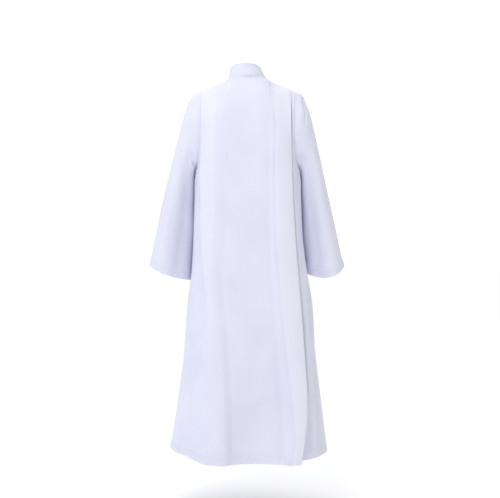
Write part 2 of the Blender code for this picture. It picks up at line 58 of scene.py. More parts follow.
NECK_HALF_WIDTH = 0.075
NECK_BACK = 0.058
NECK_FRONT = 0.068
SHOULDER_X = 0.188
NECK_POINT_Z = -0.003
SHOULDER_Z = -0.048
ARMPIT_Z = -0.339
ARMPIT_X = 0.196
SCOOP_LEFT = 0.007
SCOOP_RIGHT = 0.015
ARMHOLE_BACK = 0.084
ARMHOLE_FRONT = 0.080
HEM_Z = -1.425
SQUARENESS = 0.12
NECK_FAN = 0.120
NECK_SHARE = NECK_HALF_WIDTH / SHOULDER_X
FAN_REACH = 0.300
LAP = 0.015
LAP_LIFT = 0.00095
LAP_EASE = 0.030
CUFF_TURN = 0.004
SLEEVE_FULLNESS = 0.2
FULL_FROM = 1.7           # section of a sleeve where its fullness starts,
FULL_OVER = 3.0           # and over how many sections it grows
ARMHOLE_REACH = 3.0       # sections over which the armhole's own shape dies out
SLEEVE_LENGTH = 0.68
BAND_LEAST = 0.85
RISE_SOON = 1.4
CENTRE_SAG = 0.030
SAG_START = 0.600
SIDE_EASE = 0.55
SIDE_BIAS = 1.4           # columns lie closer near the pleat than at the side
SPACING_STEP = 0.01
NORMAL_STEP = 0.004
SHARE_STEPS = 41          # how finely a place across the back is looked up
# The pleats' tops are painted whiter: partly the real whiteness of cloth with two more layers behind it,
# partly painted light for the light they catch.
LAYERED_AND_LIT_END = 1.2         # row where the left pleat's whiter top starts to die out,
LAYERED_AND_LIT_FADE = 0.5        # and over how much of the rows
LAYERED_AND_LIT_LEFT = 0.28       # how much whiter the left pleat's top is painted, dying out below
LAYERED_AND_LIT_RIGHT = 0.70      # and the right pleat's
MOUTH_INNER = 0.020       # how far under a pleat's crest the cloth beyond it is sunk in
MOUTH_LEAST = 0.004       # how far past the crest at least,
MOUTH_SPREAD = 0.25       # and how much farther for each metre of the mouth's depth
MOUTH_LIP = 0.45          # the outer lip's height, as a share of the mouth's depth
LIP_PLACE = 2.8           # and its place, in widths of the mouth


def table_of(kind, rows):
    """A table whose rows have the names of their kind."""
    return tuple(kind(*row) for row in rows)


# Sections of the body from the armpit down.
Section = namedtuple("Section", "z left right back front")
BODY = table_of(Section, (
    (-0.339, 0.196, 0.196, 0.142, 0.138),
    (-0.352, 0.199, 0.199, 0.142, 0.138),
    (-0.378, 0.203, 0.203, 0.142, 0.139),
    (-0.46, 0.205, 0.205, 0.143, 0.14),
    (-0.616, 0.209, 0.212, 0.147, 0.143),
    (-0.74, 0.216, 0.228, 0.158, 0.15),
    (-0.847, 0.229, 0.246, 0.172, 0.16),
    (-1.04, 0.243, 0.259, 0.195, 0.178),
    (-1.23, 0.269, 0.281, 0.217, 0.197),
    (-1.38, 0.292, 0.299, 0.234, 0.212),
    (-1.425, 0.3, 0.303, 0.239, 0.217),
))

# The hem's height behind and before, from the right side seam (share -1) to the left one (1).
Hem = namedtuple("Hem", "share back front")
HEM = table_of(Hem, (
    (-1.0, -1.417, -1.417),
    (-0.7, -1.421, -1.418),
    (-0.48, -1.427, -1.416),
    (-0.36, -1.43, -1.415),
    (0.0, -1.431, -1.413),
    (0.24, -1.431, -1.413),
    (0.33, -1.429, -1.412),
    (0.48, -1.417, -1.41),
    (0.75, -1.409, -1.407),
    (1.0, -1.406, -1.406),
))

# The two knife pleats of the back: outer and inner folds, half height and radius.
Pleat = namedtuple("Pleat", "z crest under rise turn mouth")
PLEAT_RIGHT = table_of(Pleat, (
    (0.0, 0.162, 0.102, 0.0013, 0.0007, 0.0),
    (-0.08, 0.162, 0.102, 0.0028, 0.0014, 0.006),
    (-0.16, 0.162, 0.102, 0.0036, 0.0018, 0.01),
    (-0.339, 0.162, 0.101, 0.005, 0.002, 0.014),
    (-0.616, 0.173, 0.107, 0.0076, 0.0022, 0.018),
    (-0.847, 0.188, 0.124, 0.0116, 0.0026, 0.022),
    (-1.04, 0.199, 0.142, 0.0162, 0.003, 0.026),
    (-1.23, 0.205, 0.164, 0.023, 0.0034, 0.028),
    (-1.425, 0.182, 0.172, 0.03, 0.0038, 0.028),
))
PLEAT_LEFT = table_of(Pleat, (
    (0.0, 0.175, 0.121, 0.0012, 0.0007, 0.0),
    (-0.16, 0.177, 0.123, 0.0018, 0.001, 0.0),
    (-0.339, 0.178, 0.125, 0.0036, 0.0018, 0.002),
    (-0.616, 0.171, 0.13, 0.006, 0.0028, 0.006),
    (-0.847, 0.146, 0.15, 0.011, 0.005, 0.003),
    (-1.04, 0.122, 0.184, 0.012, 0.015, 0.0),
    (-1.23, 0.106, 0.214, 0.014, 0.022, 0.0),
    (-1.425, 0.104, 0.238, 0.018, 0.026, 0.0),
))

# Soft vertical folds of the front.
Fold = namedtuple("Fold", "armpit hem width height start")
FRONT_FOLDS = table_of(Fold, (
    (-0.62, -0.66, 0.11, 0.016, 0.95),
    (-0.3, -0.36, 0.1, -0.01, 1.15),
    (-0.1, -0.16, 0.09, 0.013, 1.05),
    (0.08, 0.12, 0.1, -0.008, 1.35),
    (0.28, 0.34, 0.11, 0.015, 0.9),
    (0.5, 0.56, 0.1, -0.009, 1.2),
    (0.7, 0.76, 0.1, 0.011, 1.25),
))

# Sections of a sleeve from the armhole to the cuff.
Cuff = namedtuple("Cuff", "outer_x outer_z inner_x inner_z depth forward lean drop")
SLEEVE_LEFT = table_of(Cuff, (
    (0.188, -0.048, 0.196, -0.339, 0.082, 0.0, 0.0, 0.0),
    (0.21, -0.063, 0.205, -0.342, 0.08, 0.0, 0.0, 0.0),
    (0.226, -0.084, 0.207, -0.35, 0.078, 0.001, 0.001, 0.0),
    (0.239, -0.117, 0.208, -0.363, 0.076, 0.002, 0.004, 0.0),
    (0.251, -0.16, 0.2075, -0.383, 0.074, 0.004, 0.012, 0.0),
    (0.267, -0.22, 0.206, -0.41, 0.072, 0.006, 0.026, 0.0),
    (0.285, -0.288, 0.204, -0.447, 0.071, 0.009, 0.04, 0.0),
    (0.303, -0.36, 0.2025, -0.49, 0.07, 0.012, 0.052, 0.0),
    (0.321, -0.434, 0.2, -0.538, 0.07, 0.015, 0.06, 0.0),
    (0.338, -0.507, 0.202, -0.59, 0.071, 0.018, 0.062, 0.0),
    (0.353, -0.58, 0.207, -0.646, 0.072, 0.02, 0.064, 0.001),
    (0.367, -0.65, 0.212, -0.708, 0.073, 0.022, 0.064, 0.005),
    (0.379, -0.716, 0.217, -0.773, 0.074, 0.024, 0.064, 0.009),
))
SLEEVE_RIGHT = table_of(Cuff, (
    (0.188, -0.048, 0.196, -0.339, 0.082, 0.0, 0.0, 0.0),
    (0.21, -0.059, 0.205, -0.342, 0.08, 0.0, 0.0, 0.0),
    (0.223, -0.088, 0.207, -0.35, 0.078, 0.001, 0.001, 0.0),
    (0.236, -0.122, 0.208, -0.363, 0.076, 0.002, 0.004, 0.0),
    (0.248, -0.165, 0.2075, -0.383, 0.074, 0.004, 0.012, 0.0),
    (0.262, -0.226, 0.206, -0.41, 0.072, 0.006, 0.026, 0.0),
    (0.278, -0.294, 0.204, -0.446, 0.071, 0.009, 0.04, 0.0),
    (0.294, -0.366, 0.2025, -0.487, 0.07, 0.012, 0.052, 0.0),
    (0.31, -0.438, 0.204, -0.533, 0.07, 0.015, 0.06, 0.0),
    (0.326, -0.51, 0.209, -0.583, 0.071, 0.018, 0.062, 0.004),
    (0.342, -0.582, 0.215, -0.635, 0.072, 0.02, 0.064, 0.01),
    (0.357, -0.653, 0.222, -0.688, 0.073, 0.022, 0.064, 0.018),
    (0.371, -0.72, 0.229, -0.742, 0.074, 0.024, 0.064, 0.03),
))

# The collar's seam and top edge.
Band = namedtuple("Band", "half_width back front shift z_back z_side z_front")
COLLAR_SEAM = Band(NECK_HALF_WIDTH, NECK_BACK, NECK_FRONT, 0.000, -0.003, NECK_POINT_Z, -0.046)
COLLAR_TOP = Band(0.060, 0.050, 0.058, 0.009, 0.057, 0.038, 0.008)

# ---- Creases ----

CREASE_RISE = 0.35        # share of a crease over which it rises from its start,
CREASE_FALL = 0.2         # and over which it dies out at its end
HELD_SIDE = 0.05          # creases die out towards a side seam over this share round,
HELD_TOP = 0.06           # below the top seams over this share of the rows,
HELD_ARMHOLE = 0.05       # below the armhole over this share of the sleeve
HELD_NECK = 0.08          # and over the neck seam over this share of the collar

# Creases of the body, as seen from behind or from the front: where each starts and ends, how
# far its middle bends aside, its half width at both ends and how far it stands out (troughs
# are negative).
Crease = namedtuple("Crease", "x_top z_top x_foot z_foot bend w_top w_foot height")
BACK_CREASES = table_of(Crease, (
    # Drag below the collar.
    (0.0135, -0.002, 0.0125, -0.036, 0.0, 0.004, 0.006, -0.0018),
    (0.003, -0.004, -0.002, -0.03, 0.001, 0.005, 0.007, 0.001),
    (-0.052, -0.012, -0.132, -0.05, -0.004, 0.008, 0.013, -0.0034),
    (-0.07, -0.03, -0.15, -0.078, -0.003, 0.01, 0.016, 0.0022),
    (0.054, -0.012, 0.124, -0.052, 0.004, 0.009, 0.014, -0.0022),
    # Upper back.
    (0.01, -0.09, -0.006, -0.43, 0.006, 0.03, 0.06, -0.003),
    (0.098, -0.08, 0.088, -0.4, -0.004, 0.018, 0.034, 0.0026),
    (-0.086, -0.1, -0.092, -0.38, 0.004, 0.016, 0.03, 0.0022),
    # Drag from the armpits.
    (-0.186, -0.35, -0.17, -0.235, 0.004, 0.008, 0.011, -0.004),
    (-0.19, -0.352, -0.176, -0.5, 0.004, 0.008, 0.014, -0.0045),
    (0.187, -0.35, 0.174, -0.215, -0.004, 0.008, 0.012, -0.0032),
    (0.191, -0.352, 0.181, -0.54, -0.004, 0.008, 0.015, -0.005),
    # Skirt between the pleats.
    (0.066, -0.74, 0.084, -1.48, 0.006, 0.03, 0.05, -0.0022),
    (0.02, -0.9, 0.03, -1.48, -0.004, 0.028, 0.046, 0.0016),
    (-0.034, -0.7, -0.048, -1.48, 0.006, 0.034, 0.06, -0.003),
    (-0.092, -0.98, -0.104, -1.48, -0.003, 0.026, 0.04, 0.0014),
    (-0.14, -1.06, -0.15, -1.48, 0.002, 0.016, 0.026, -0.0012),
    # Left side of the skirt.
    (0.176, -0.62, 0.196, -1.48, 0.004, 0.02, 0.036, -0.0034),
    (0.206, -0.7, 0.244, -1.48, -0.003, 0.016, 0.03, 0.0026),
    (0.222, -0.98, 0.272, -1.48, 0.002, 0.012, 0.02, -0.0024),
    # Right side panel, beyond the pleat.
    (-0.196, -0.56, -0.224, -1.48, 0.001, 0.006, 0.01, -0.006),
    (-0.208, -0.66, -0.262, -1.48, -0.001, 0.007, 0.011, 0.01),
    (-0.219, -0.7, -0.28, -1.48, 0.001, 0.006, 0.008, -0.012),
))
FRONT_CREASES = table_of(Crease, (
    # Drag below the collar.
    (-0.056, -0.03, -0.118, -0.074, -0.004, 0.009, 0.014, -0.003),
    (0.058, -0.03, 0.126, -0.07, 0.004, 0.009, 0.014, -0.0026),
    (-0.02, -0.064, -0.06, -0.18, -0.004, 0.009, 0.02, -0.0026),
    (0.034, -0.07, 0.07, -0.2, 0.004, 0.01, 0.022, -0.0024),
    # Chest.
    (-0.1, -0.11, -0.108, -0.52, 0.005, 0.018, 0.036, 0.0034),
    (0.104, -0.12, 0.096, -0.46, -0.004, 0.018, 0.032, 0.003),
    (0.046, -0.18, 0.04, -0.62, 0.004, 0.02, 0.036, -0.003),
    # Drag from the armpits.
    (-0.187, -0.35, -0.168, -0.225, 0.004, 0.008, 0.012, -0.004),
    (-0.191, -0.352, -0.172, -0.56, 0.004, 0.008, 0.015, -0.0048),
    (0.186, -0.35, 0.17, -0.235, -0.004, 0.008, 0.011, -0.0036),
    (0.19, -0.352, 0.176, -0.51, -0.004, 0.008, 0.014, -0.0044),
    # Skirt.
    (-0.216, -0.74, -0.256, -1.48, -0.003, 0.012, 0.022, -0.0056),
    (-0.052, -0.64, -0.07, -1.48, 0.004, 0.014, 0.024, -0.005),
    (0.018, -0.82, 0.02, -1.48, -0.003, 0.012, 0.022, 0.004),
    (0.126, -0.66, 0.15, -1.48, 0.004, 0.014, 0.024, -0.0046),
    (0.214, -0.78, 0.258, -1.48, -0.003, 0.012, 0.02, 0.0052),
))

# Creases of a sleeve: share of the way down from the armhole, and round from the top of the
# arm (0) to the underarm (1 over the back, -1 over the front), with a half width as such a
# share round.
Wrinkle = namedtuple("Wrinkle", "s_top w_top s_foot w_foot width height")
WRINKLES_LEFT = table_of(Wrinkle, (
    (-0.1, 1.0, 0.36, 1.0, 0.1, 0.006),
    (0.04, 0.26, 0.26, 0.2, 0.06, -0.0034),
    (0.0, 0.8, 0.42, 0.56, 0.075, -0.006),
    (0.02, 0.94, 0.34, 0.76, 0.06, 0.0044),
    (0.3, 0.42, 1.1, 0.38, 0.11, 0.006),
    (0.42, 0.64, 1.1, 0.6, 0.085, -0.006),
    (0.52, 0.19, 1.1, 0.17, 0.085, -0.0042),
    (0.6, 0.8, 1.1, 0.8, 0.07, 0.0034),
    (0.05, -0.24, 0.3, -0.18, 0.06, -0.0036),
    (0.0, -0.78, 0.4, -0.54, 0.08, -0.0056),
    (0.36, -0.36, 1.1, -0.42, 0.1, 0.0056),
    (0.48, -0.66, 1.1, -0.64, 0.085, -0.0056),
    (0.6, -0.14, 1.1, -0.16, 0.08, -0.0036),
))
WRINKLES_RIGHT = table_of(Wrinkle, (
    (-0.1, 1.0, 0.36, 1.0, 0.1, 0.006),
    (0.08, 0.12, 0.2, 0.36, 0.05, -0.009),
    (0.03, 0.26, 0.24, 0.34, 0.055, 0.0034),
    (0.0, 0.82, 0.38, 0.6, 0.07, -0.006),
    (0.02, 0.95, 0.3, 0.8, 0.055, 0.004),
    (0.34, 0.34, 1.1, 0.4, 0.105, 0.0056),
    (0.46, 0.58, 1.1, 0.62, 0.085, -0.0046),
    (0.4, 0.12, 1.1, 0.16, 0.075, -0.005),
    (0.62, 0.82, 1.1, 0.8, 0.07, 0.0046),
    (0.04, -0.2, 0.28, -0.26, 0.055, -0.004),
    (0.0, -0.8, 0.42, -0.56, 0.075, -0.0056),
    (0.32, -0.4, 1.1, -0.36, 0.105, 0.0054),
    (0.5, -0.62, 1.1, -0.66, 0.085, -0.0056),
))

# Soft creases round the collar: turn, share of its height, half widths of both and height.
Dent = namedtuple("Dent", "turn share wide tall height")
COLLAR_DENTS = table_of(Dent, (
    (-0.12, 0.1, 0.44, 0.08, -0.006),
    (-0.1, 0.34, 0.42, 0.14, 0.0014),
    (0.62, 0.16, 0.2, 0.1, -0.0016),
    (-0.85, 0.18, 0.22, 0.12, -0.002),
    (1.6, 0.3, 0.16, 0.3, -0.0012),
    (-1.7, 0.26, 0.18, 0.3, -0.0014),
    (2.6, 0.22, 0.22, 0.14, -0.0016),
    (-2.5, 0.24, 0.2, 0.14, -0.0014),
))

# The hem's own slow waves: length of each along the edge, height and shift.
Wave = namedtuple("Wave", "length height shift")
HEM_WAVES = table_of(Wave, (
    (0.142, 0.0016, 0.4),
    (0.087, 0.0011, 2.1),
    (0.053, 0.0006, 4.4),
))
WAVE_REACH = 0.070        # how far up from the hem they are felt

# ---- How finely each piece is divided ----

YOKE_ROWS = 60
SKIRT_ROWS = 104
HEM_ROWS = 14
HEM_ZONE = 0.045          # height of the finely divided strip at a hem
NECK_STEPS = 14
BACK_STEPS = 5
BAND_STEPS = 10
FOLD_STEPS = 8
SIDE_STEPS = 24
FRONT_STEPS = 58
LAP_STEPS = 4
SLEEVE_ROWS = 84
COLLAR_ROWS = 22

MAP_MARGIN = 0.01         # free edge of each wall's flat layout
SHARP_ANGLE = 1.0

# ---- Sewing, and the relief of the cloth ----

STITCH_SIDES = 4
THREAD_DEPTH = 0.0006     # relief of the weave and its slubs
PUCKER_DEPTH = 0.0022     # relief of the puckers
PULLED_WIDTH = 0.0035     # how far from a sewn line its thread pulls the cloth in
STITCH_PITCH = 1.3        # from one stitch to the next, in lengths of a stitch
FRONT_EDGE = 0.008        # how far in from its edge a front is stitched
COLLAR_EDGE = 0.005       # and the collar from its two edges
DOUBLED = 2.2             # how much thicker a turned-up hem is, in layers of cloth
PUCKER_REACH = 0.016      # how far from a sewn line its puckers die out

# ---- The stage ----

FLOOR_SIDES = 96
FLOOR_RADIUS = 40.0
# The room's light: white paper behind, a dimmer room before it and a white ceiling. The room
# is darker on the right, where its lamps are warmer than the daylight.
PAPER_LIGHT = 0.85
ROOM_LIGHT = 0.44
CEILING_LIGHT = 1.40
RIGHT_SHARE = 0.30
LAMP_TINT = (1.08, 1.0, 0.66, 1.0)
DAY_TINT = (0.97, 0.98, 1.03, 1.0)
PLAIN_WHITE = 1.2         # what is seen past the garment, on every side
# The camera stands behind the garment, at half its height.
CAMERA_PLACE = (-0.0085, 3.6, -0.651)
LENS_MM = 67.3
SENSOR_MM = 36.0
# Each light's place, target, size and share of the key light's power.
LIGHTS = (
    ("key_light", (0.9, 2.2, 1.3), (0.0, 0.0, -0.2), 1.2, 1.0),
    ("front_light", (-1.8, -3.2, 1.2), (0.0, 0.0, -0.6), 2.4, 0.2),
)


# ---- Curves ----


def ease(share):
    """Smooth step from 0 to 1."""
    share = np.clip(share, 0.0, 1.0)
    return share * share * (3.0 - 2.0 * share)


def through(places, values, at):
    """Smooth curve through values given at rising places."""
    places = np.asarray(places, float)
    values = np.asarray(values, float)
    slopes = np.gradient(values, places)
    at = np.clip(at, places[0], places[-1])
    k = np.clip(np.searchsorted(places, at) - 1, 0, len(places) - 2)
    span = places[k + 1] - places[k]
    t = (at - places[k]) / span
    start = values[k] * (1 + 2 * t) * (1 - t) ** 2 + slopes[k] * span * t * (1 - t) ** 2
    end = values[k + 1] * t * t * (3 - 2 * t) - slopes[k + 1] * span * t * t * (1 - t)
    return start + end


def column(table, name, z):
    """A table's column at height z; tables run from the top down."""
    return through([-row.z for row in table], [getattr(row, name) for row in table], -z)


def unit(vectors):
    """Vectors made one unit long."""
    return vectors / np.linalg.norm(vectors, axis=-1, keepdims=True)


def points_of(x, y, z):
    """Points from their three coordinates."""
    return np.stack(np.broadcast_arrays(x, y, z), axis=-1).astype(float)


# ---- The body's smooth surface ----


def ring_point(q, z, face):
    """Body section at height z; q runs from -1 (right side) over 0 (centre) to 1 (left side)."""
    angle = q * pi / 2
    left, right = column(BODY, "left", z), column(BODY, "right", z)
    middle = (left + right) / 2
    width = middle + (np.where(q > 0, left, right) - middle) * np.sin(angle) ** 2
    depth = column(BODY, "back" if face > 0 else "front", z)
    x = width * np.sin(angle) * (1 + SQUARENESS * np.cos(angle) ** 2)
    y = face * depth * np.cos(angle) * (1 + SQUARENESS * np.sin(angle) ** 2)
    return points_of(x, y, z)


def collar_point(band, turn):
    """Point of a collar ring. turn is 0 at the back, a half turn at the front, left positive."""
    depth = np.where(np.cos(turn) > 0, band.back, band.front)
    mean = (band.z_back + band.z_front) / 2
    z = (mean + band.z_side) / 2 + (band.z_back - band.z_front) / 2 * np.cos(turn)
    z = z + (mean - band.z_side) / 2 * np.cos(2 * turn)
    return points_of(band.shift + band.half_width * np.sin(turn), depth * np.cos(turn), z)


def top_point(q, face):
    """Start of the column q, on the neck seam or on the shoulder seam."""
    x = q * SHOULDER_X
    turn = np.arcsin(np.clip(x / NECK_HALF_WIDTH, -1.0, 1.0))
    neck = collar_point(COLLAR_SEAM, turn if face > 0 else pi - turn)
    share = (np.abs(x) - NECK_HALF_WIDTH) / (SHOULDER_X - NECK_HALF_WIDTH)
    shoulder = points_of(x, 0.0, NECK_POINT_Z + share * (SHOULDER_Z - NECK_POINT_Z))
    return np.where((np.abs(x) <= NECK_HALF_WIDTH)[..., None], neck, shoulder)


def armhole_point(side, v, face):
    """Armhole seam, from the shoulder (v 0) to the armpit (v 1)."""
    depth = ARMHOLE_BACK if face > 0 else ARMHOLE_FRONT
    x = (SHOULDER_X + ARMPIT_X) / 2 + (SHOULDER_X - ARMPIT_X) / 2 * np.cos(v * pi)
    x = x - np.where(side > 0, SCOOP_LEFT, SCOOP_RIGHT) * np.sin(v * pi)
    z = (SHOULDER_Z + ARMPIT_Z) / 2 + (SHOULDER_Z - ARMPIT_Z) / 2 * np.cos(v * pi)
    return points_of(side * x, face * depth * np.sin(v * pi), z)


def yoke_point(q, v, face):
    """Body above the armpit: v runs from 0 at the top to 1 at the armpit's height."""
    top = top_point(q, face)
    foot = ring_point(q, ARMPIT_Z, face)
    point = foot + (top - foot) * np.cos(v * pi / 2)
    rise = np.sin(v * pi / 2)
    point[..., 1] = foot[..., 1] * rise + top[..., 1] * (1 - rise) ** 2
    side = np.where(q > 0, 1.0, -1.0)
    spread = ease(np.abs(q) / NECK_SHARE) * (1 - ease((np.abs(q) - NECK_SHARE) / FAN_REACH))
    point[..., 0] += side * NECK_FAN * spread * v * (1 - v) ** 4
    straight = points_of(
        side * (ARMPIT_X + (SHOULDER_X - ARMPIT_X) * np.cos(v * pi / 2)),
        0.0,
        ARMPIT_Z + (SHOULDER_Z - ARMPIT_Z) * np.cos(v * pi / 2))
    return point + (q * q)[..., None] * (armhole_point(side, v, face) - straight)


def hem_height(q, face):
    """The hem's height at the column q."""
    heights = [row.back if face > 0 else row.front for row in HEM]
    return through([row.share for row in HEM], heights, q)


def quarter_girth(z, face):
    """About how far it is round the body from the centre to the side, at height z."""
    return np.linalg.norm(ring_point(np.array(0.5), min(z, ARMPIT_Z), face)[:2]) * pi / 2


def body_point(q, v, face):
    """The body's smooth surface: v is 0 at the top, 1 at the armpit and 2 at the hem."""
    q = np.asarray(q, float)
    if v <= 1:
        return yoke_point(q, v, face)
    return ring_point(q, ARMPIT_Z + (hem_height(q, face) - ARMPIT_Z) * (v - 1), face)


def lifted(q, v, face, lift):
    """Points that stand off the body's smooth surface by lift, creases included."""
    q = np.asarray(q, float)
    across = body_point(np.minimum(q + NORMAL_STEP, 1.0), v, face)
    across = across - body_point(np.maximum(q - NORMAL_STEP, -1.0), v, face)
    down = body_point(q, min(v + NORMAL_STEP, 2.0), face)
    down = down - body_point(q, max(v - NORMAL_STEP, 0.0), face)
    normal = unit(np.cross(across, down)) * face
    place = body_point(q, v, face)
    creases = BACK_CREASES if face > 0 else FRONT_CREASES
    held = ease((1 - np.abs(q)) / HELD_SIDE) * ease(v / HELD_TOP)
    lift = np.asarray(lift) + crease_lift(place, creases) * held
    return place + normal * lift[..., None]


def crease_share(t, reach):
    """Share of a crease's height: t is the way along it, reach how far off it in half widths."""
    strength = bpy.context.scene.alb_cloth.crease_strength
    ends = ease(t / CREASE_RISE) * ease((1 - t) / CREASE_FALL)
    return strength * ends * np.exp(-reach ** 2)


def crease_lift(place, creases):
    """How far a body's creases lift its surface at some places."""
    x, z = place[..., 0], place[..., 2]
    lift = np.zeros_like(x)
    for c in creases:
        run = np.array([c.x_foot - c.x_top, c.z_foot - c.z_top])
        length = np.hypot(*run)
        along = ((x - c.x_top) * run[0] + (z - c.z_top) * run[1]) / length ** 2
        aside = ((x - c.x_top) * run[1] - (z - c.z_top) * run[0]) / length
        t = np.clip(along, 0.0, 1.0)
        aside = aside - c.bend * np.sin(t * pi)
        beyond = (along - t) * length
        width = c.w_top + (c.w_foot - c.w_top) * t
        reach = np.hypot(aside, beyond) / width
        lift += c.height * crease_share(t, reach)
    return lift


# ---- The back, with its pleats ----


def neck_shares():
    """Columns q of the neck seam from the centre to the neck point."""
    return NECK_SHARE * np.sin(np.linspace(0, pi / 2, NECK_STEPS + 1))


def row_levels():
    """The body's rows: turned over the shoulder, then down to the hem, finer near it."""
    zone = 2 - HEM_ZONE / (ARMPIT_Z - HEM_Z)
    parts = (np.linspace(0, 1, YOKE_ROWS + 1), np.linspace(1, zone, SKIRT_ROWS + 1)[1:],
             np.linspace(zone, 2, HEM_ROWS + 1)[1:])
    return np.concatenate(parts)


def arc(centre, radius, start, end):
    """Points round a fold, as (distance across, lift)."""
    angles = np.linspace(start, end, FOLD_STEPS + 1)
    return np.array(centre) + radius * np.stack([np.cos(angles), np.sin(angles)], axis=-1)


def share_at(x, v, side):
    """Column q of the back that lies x from the middle plane at row v."""
    shares = np.linspace(0, 1, SHARE_STEPS)
    return np.interp(x, np.abs(body_point(side * shares, v, 1)[:, 0]), shares)


def pleat_path(table, v, neck, side):
    """Half of the back at row v, from the centre to the side, as rows of (share q, lift)."""
    z = body_point(np.array(side * NECK_SHARE), v, 1)[2]
    crest, under, rise, turn, mouth = (column(table, name, z) for name in Pleat._fields[1:])
    crest_share = share_at(crest, v, side)
    steps = body_point(side * np.array([crest_share, crest_share + SPACING_STEP]), v, 1)
    around = np.linalg.norm(steps[1] - steps[0]) / SPACING_STEP
    crest_at = crest_share * around
    under_at = share_at(under, v, side) * around
    gap = np.array([crest_at - under_at, 2 * rise - 2 * turn])
    slope = np.arctan2(gap[1], gap[0]) % (2 * pi) - np.arcsin(min(2 * turn / np.hypot(*gap), 1.0))
    outer = arc((crest_at, rise - turn), turn, pi / 2, slope - pi / 2)
    inner = arc((under_at, turn - rise), turn, slope + pi / 2, 3 * pi / 2)
    band_at = min(under_at, crest_at * BAND_LEAST)
    band_end = max(crest_at, under_at + (around - under_at) * (1 - BAND_LEAST))
    scale = band_at * SHOULDER_X / table[0].under
    inwards = np.concatenate([
        neck[:-1] * scale,
        np.linspace(neck[-1] * scale, band_at, BACK_STEPS + 1)[:-1],
        np.linspace(band_at, crest_at, BAND_STEPS + 1)[:-1]])
    start = inwards[NECK_STEPS]
    fall = ease((-z - SAG_START) / (-HEM_Z - SAG_START)) * CENTRE_SAG
    level = rise * ease(RISE_SOON * (inwards - start) / (band_at - start))
    level = level - fall * (1 - ease(inwards / crest_at))
    share = np.linspace(0, 1, BAND_STEPS + 1)[1:-1, None]
    middle = outer[-1] * (1 - share) + inner[0] * share
    outwards = np.concatenate([
        np.linspace(under_at, band_end, BAND_STEPS + 1)[1:-1],
        band_end + (around - band_end) * np.linspace(0, 1, SIDE_STEPS + 1) ** SIDE_BIAS])
    eased = ease((outwards - band_end) / (around - band_end) / SIDE_EASE)
    # The mouth's shade: the cloth beyond the crest sinks in under it, and comes out slowly.
    past = outwards - crest_at
    width = MOUTH_LEAST + MOUTH_SPREAD * mouth
    sunk = mouth * ease(1 + past / MOUTH_INNER) * np.exp(-(np.maximum(past, 0) / width) ** 2)
    sunk -= MOUTH_LIP * mouth * np.exp(-((past - LIP_PLACE * width) / width) ** 2)
    path = np.concatenate([
        np.stack([inwards, level], axis=-1), outer, middle, inner,
        np.stack([outwards, -rise * (1 - eased) - sunk], axis=-1)])
    return path / np.array([around, 1.0])


def back_grid():
    """Middle surface of the back: rows from the top to the hem, columns from right to left."""
    neck = neck_shares()
    rows = []
    for v in row_levels():
        right = pleat_path(PLEAT_RIGHT, v, neck, -1)[:0:-1] * np.array([-1.0, 1.0])
        path = np.concatenate([right, pleat_path(PLEAT_LEFT, v, neck, 1)])
        rows.append(lifted(path[:, 0], v, 1, path[:, 1]))
    return np.array(rows)


def pleat_layers_and_light(columns):
    """How much whiter the pleats' tops are painted, by row and column of the back: partly for the two
    layers behind them, partly painted light.
    """
    half = np.arange((columns + 1) // 2)
    start = NECK_STEPS + BACK_STEPS
    top = ((half >= start) & (half <= start + BAND_STEPS + FOLD_STEPS)).astype(float)
    levels = row_levels()[:, None]
    left = LAYERED_AND_LIT_LEFT * (1 - ease((levels - LAYERED_AND_LIT_END) / LAYERED_AND_LIT_FADE))
    right = np.full_like(levels, LAYERED_AND_LIT_RIGHT)
    return np.concatenate([right * top[:0:-1], left * top], axis=1)


# ---- The fronts ----


def front_lift(q, v):
    """Soft vertical folds of the front, growing towards the hem."""
    lift = 0.0
    for fold in FRONT_FOLDS:
        middle = fold.armpit + (fold.hem - fold.armpit) * (v - 1)
        grow = ease((v - fold.start) / (2 - fold.start))
        lift = lift + fold.height * grow * np.exp(-((q - middle) / fold.width) ** 2)
    return lift * (1 - q ** 4)


def lap_level(side, q, around):
    """How far a front lies out or in, at and near its lap."""
    return side * LAP_LIFT * (1 - ease((q * around - LAP) / LAP_EASE))


def front_shares(around, neck):
    """Columns of a front, from its lap past the centre to the side seam."""
    lap = LAP / around
    outwards = np.linspace(neck[-1], 1.0, FRONT_STEPS + 1)[1:]
    past = neck[np.searchsorted(neck, lap, side="right"):]
    first = np.linspace(-lap, lap, NECK_STEPS + LAP_STEPS + 1 - len(past))
    return np.concatenate([first, past, outwards])


def neck_turn(q, face):
    """Direction of a neck seam's column, 0 at the back and a half turn at the front."""
    turn = np.arcsin(np.clip(q * SHOULDER_X / NECK_HALF_WIDTH, -1.0, 1.0))
    return turn if face > 0 else pi - turn


def front_grid(side):
    """Middle surface of one front, from its lap past the centre to its side seam."""
    neck = neck_shares()
    rows = []
    for v in row_levels():
        around = quarter_girth(body_point(np.array(0.0), v, -1)[2], -1)
        q = front_shares(around, neck)
        level = lap_level(side, q, around)
        rows.append(lifted(side * q, v, -1, level + front_lift(side * q, v)))
    return np.array(rows)


# ---- Sleeves and collar ----


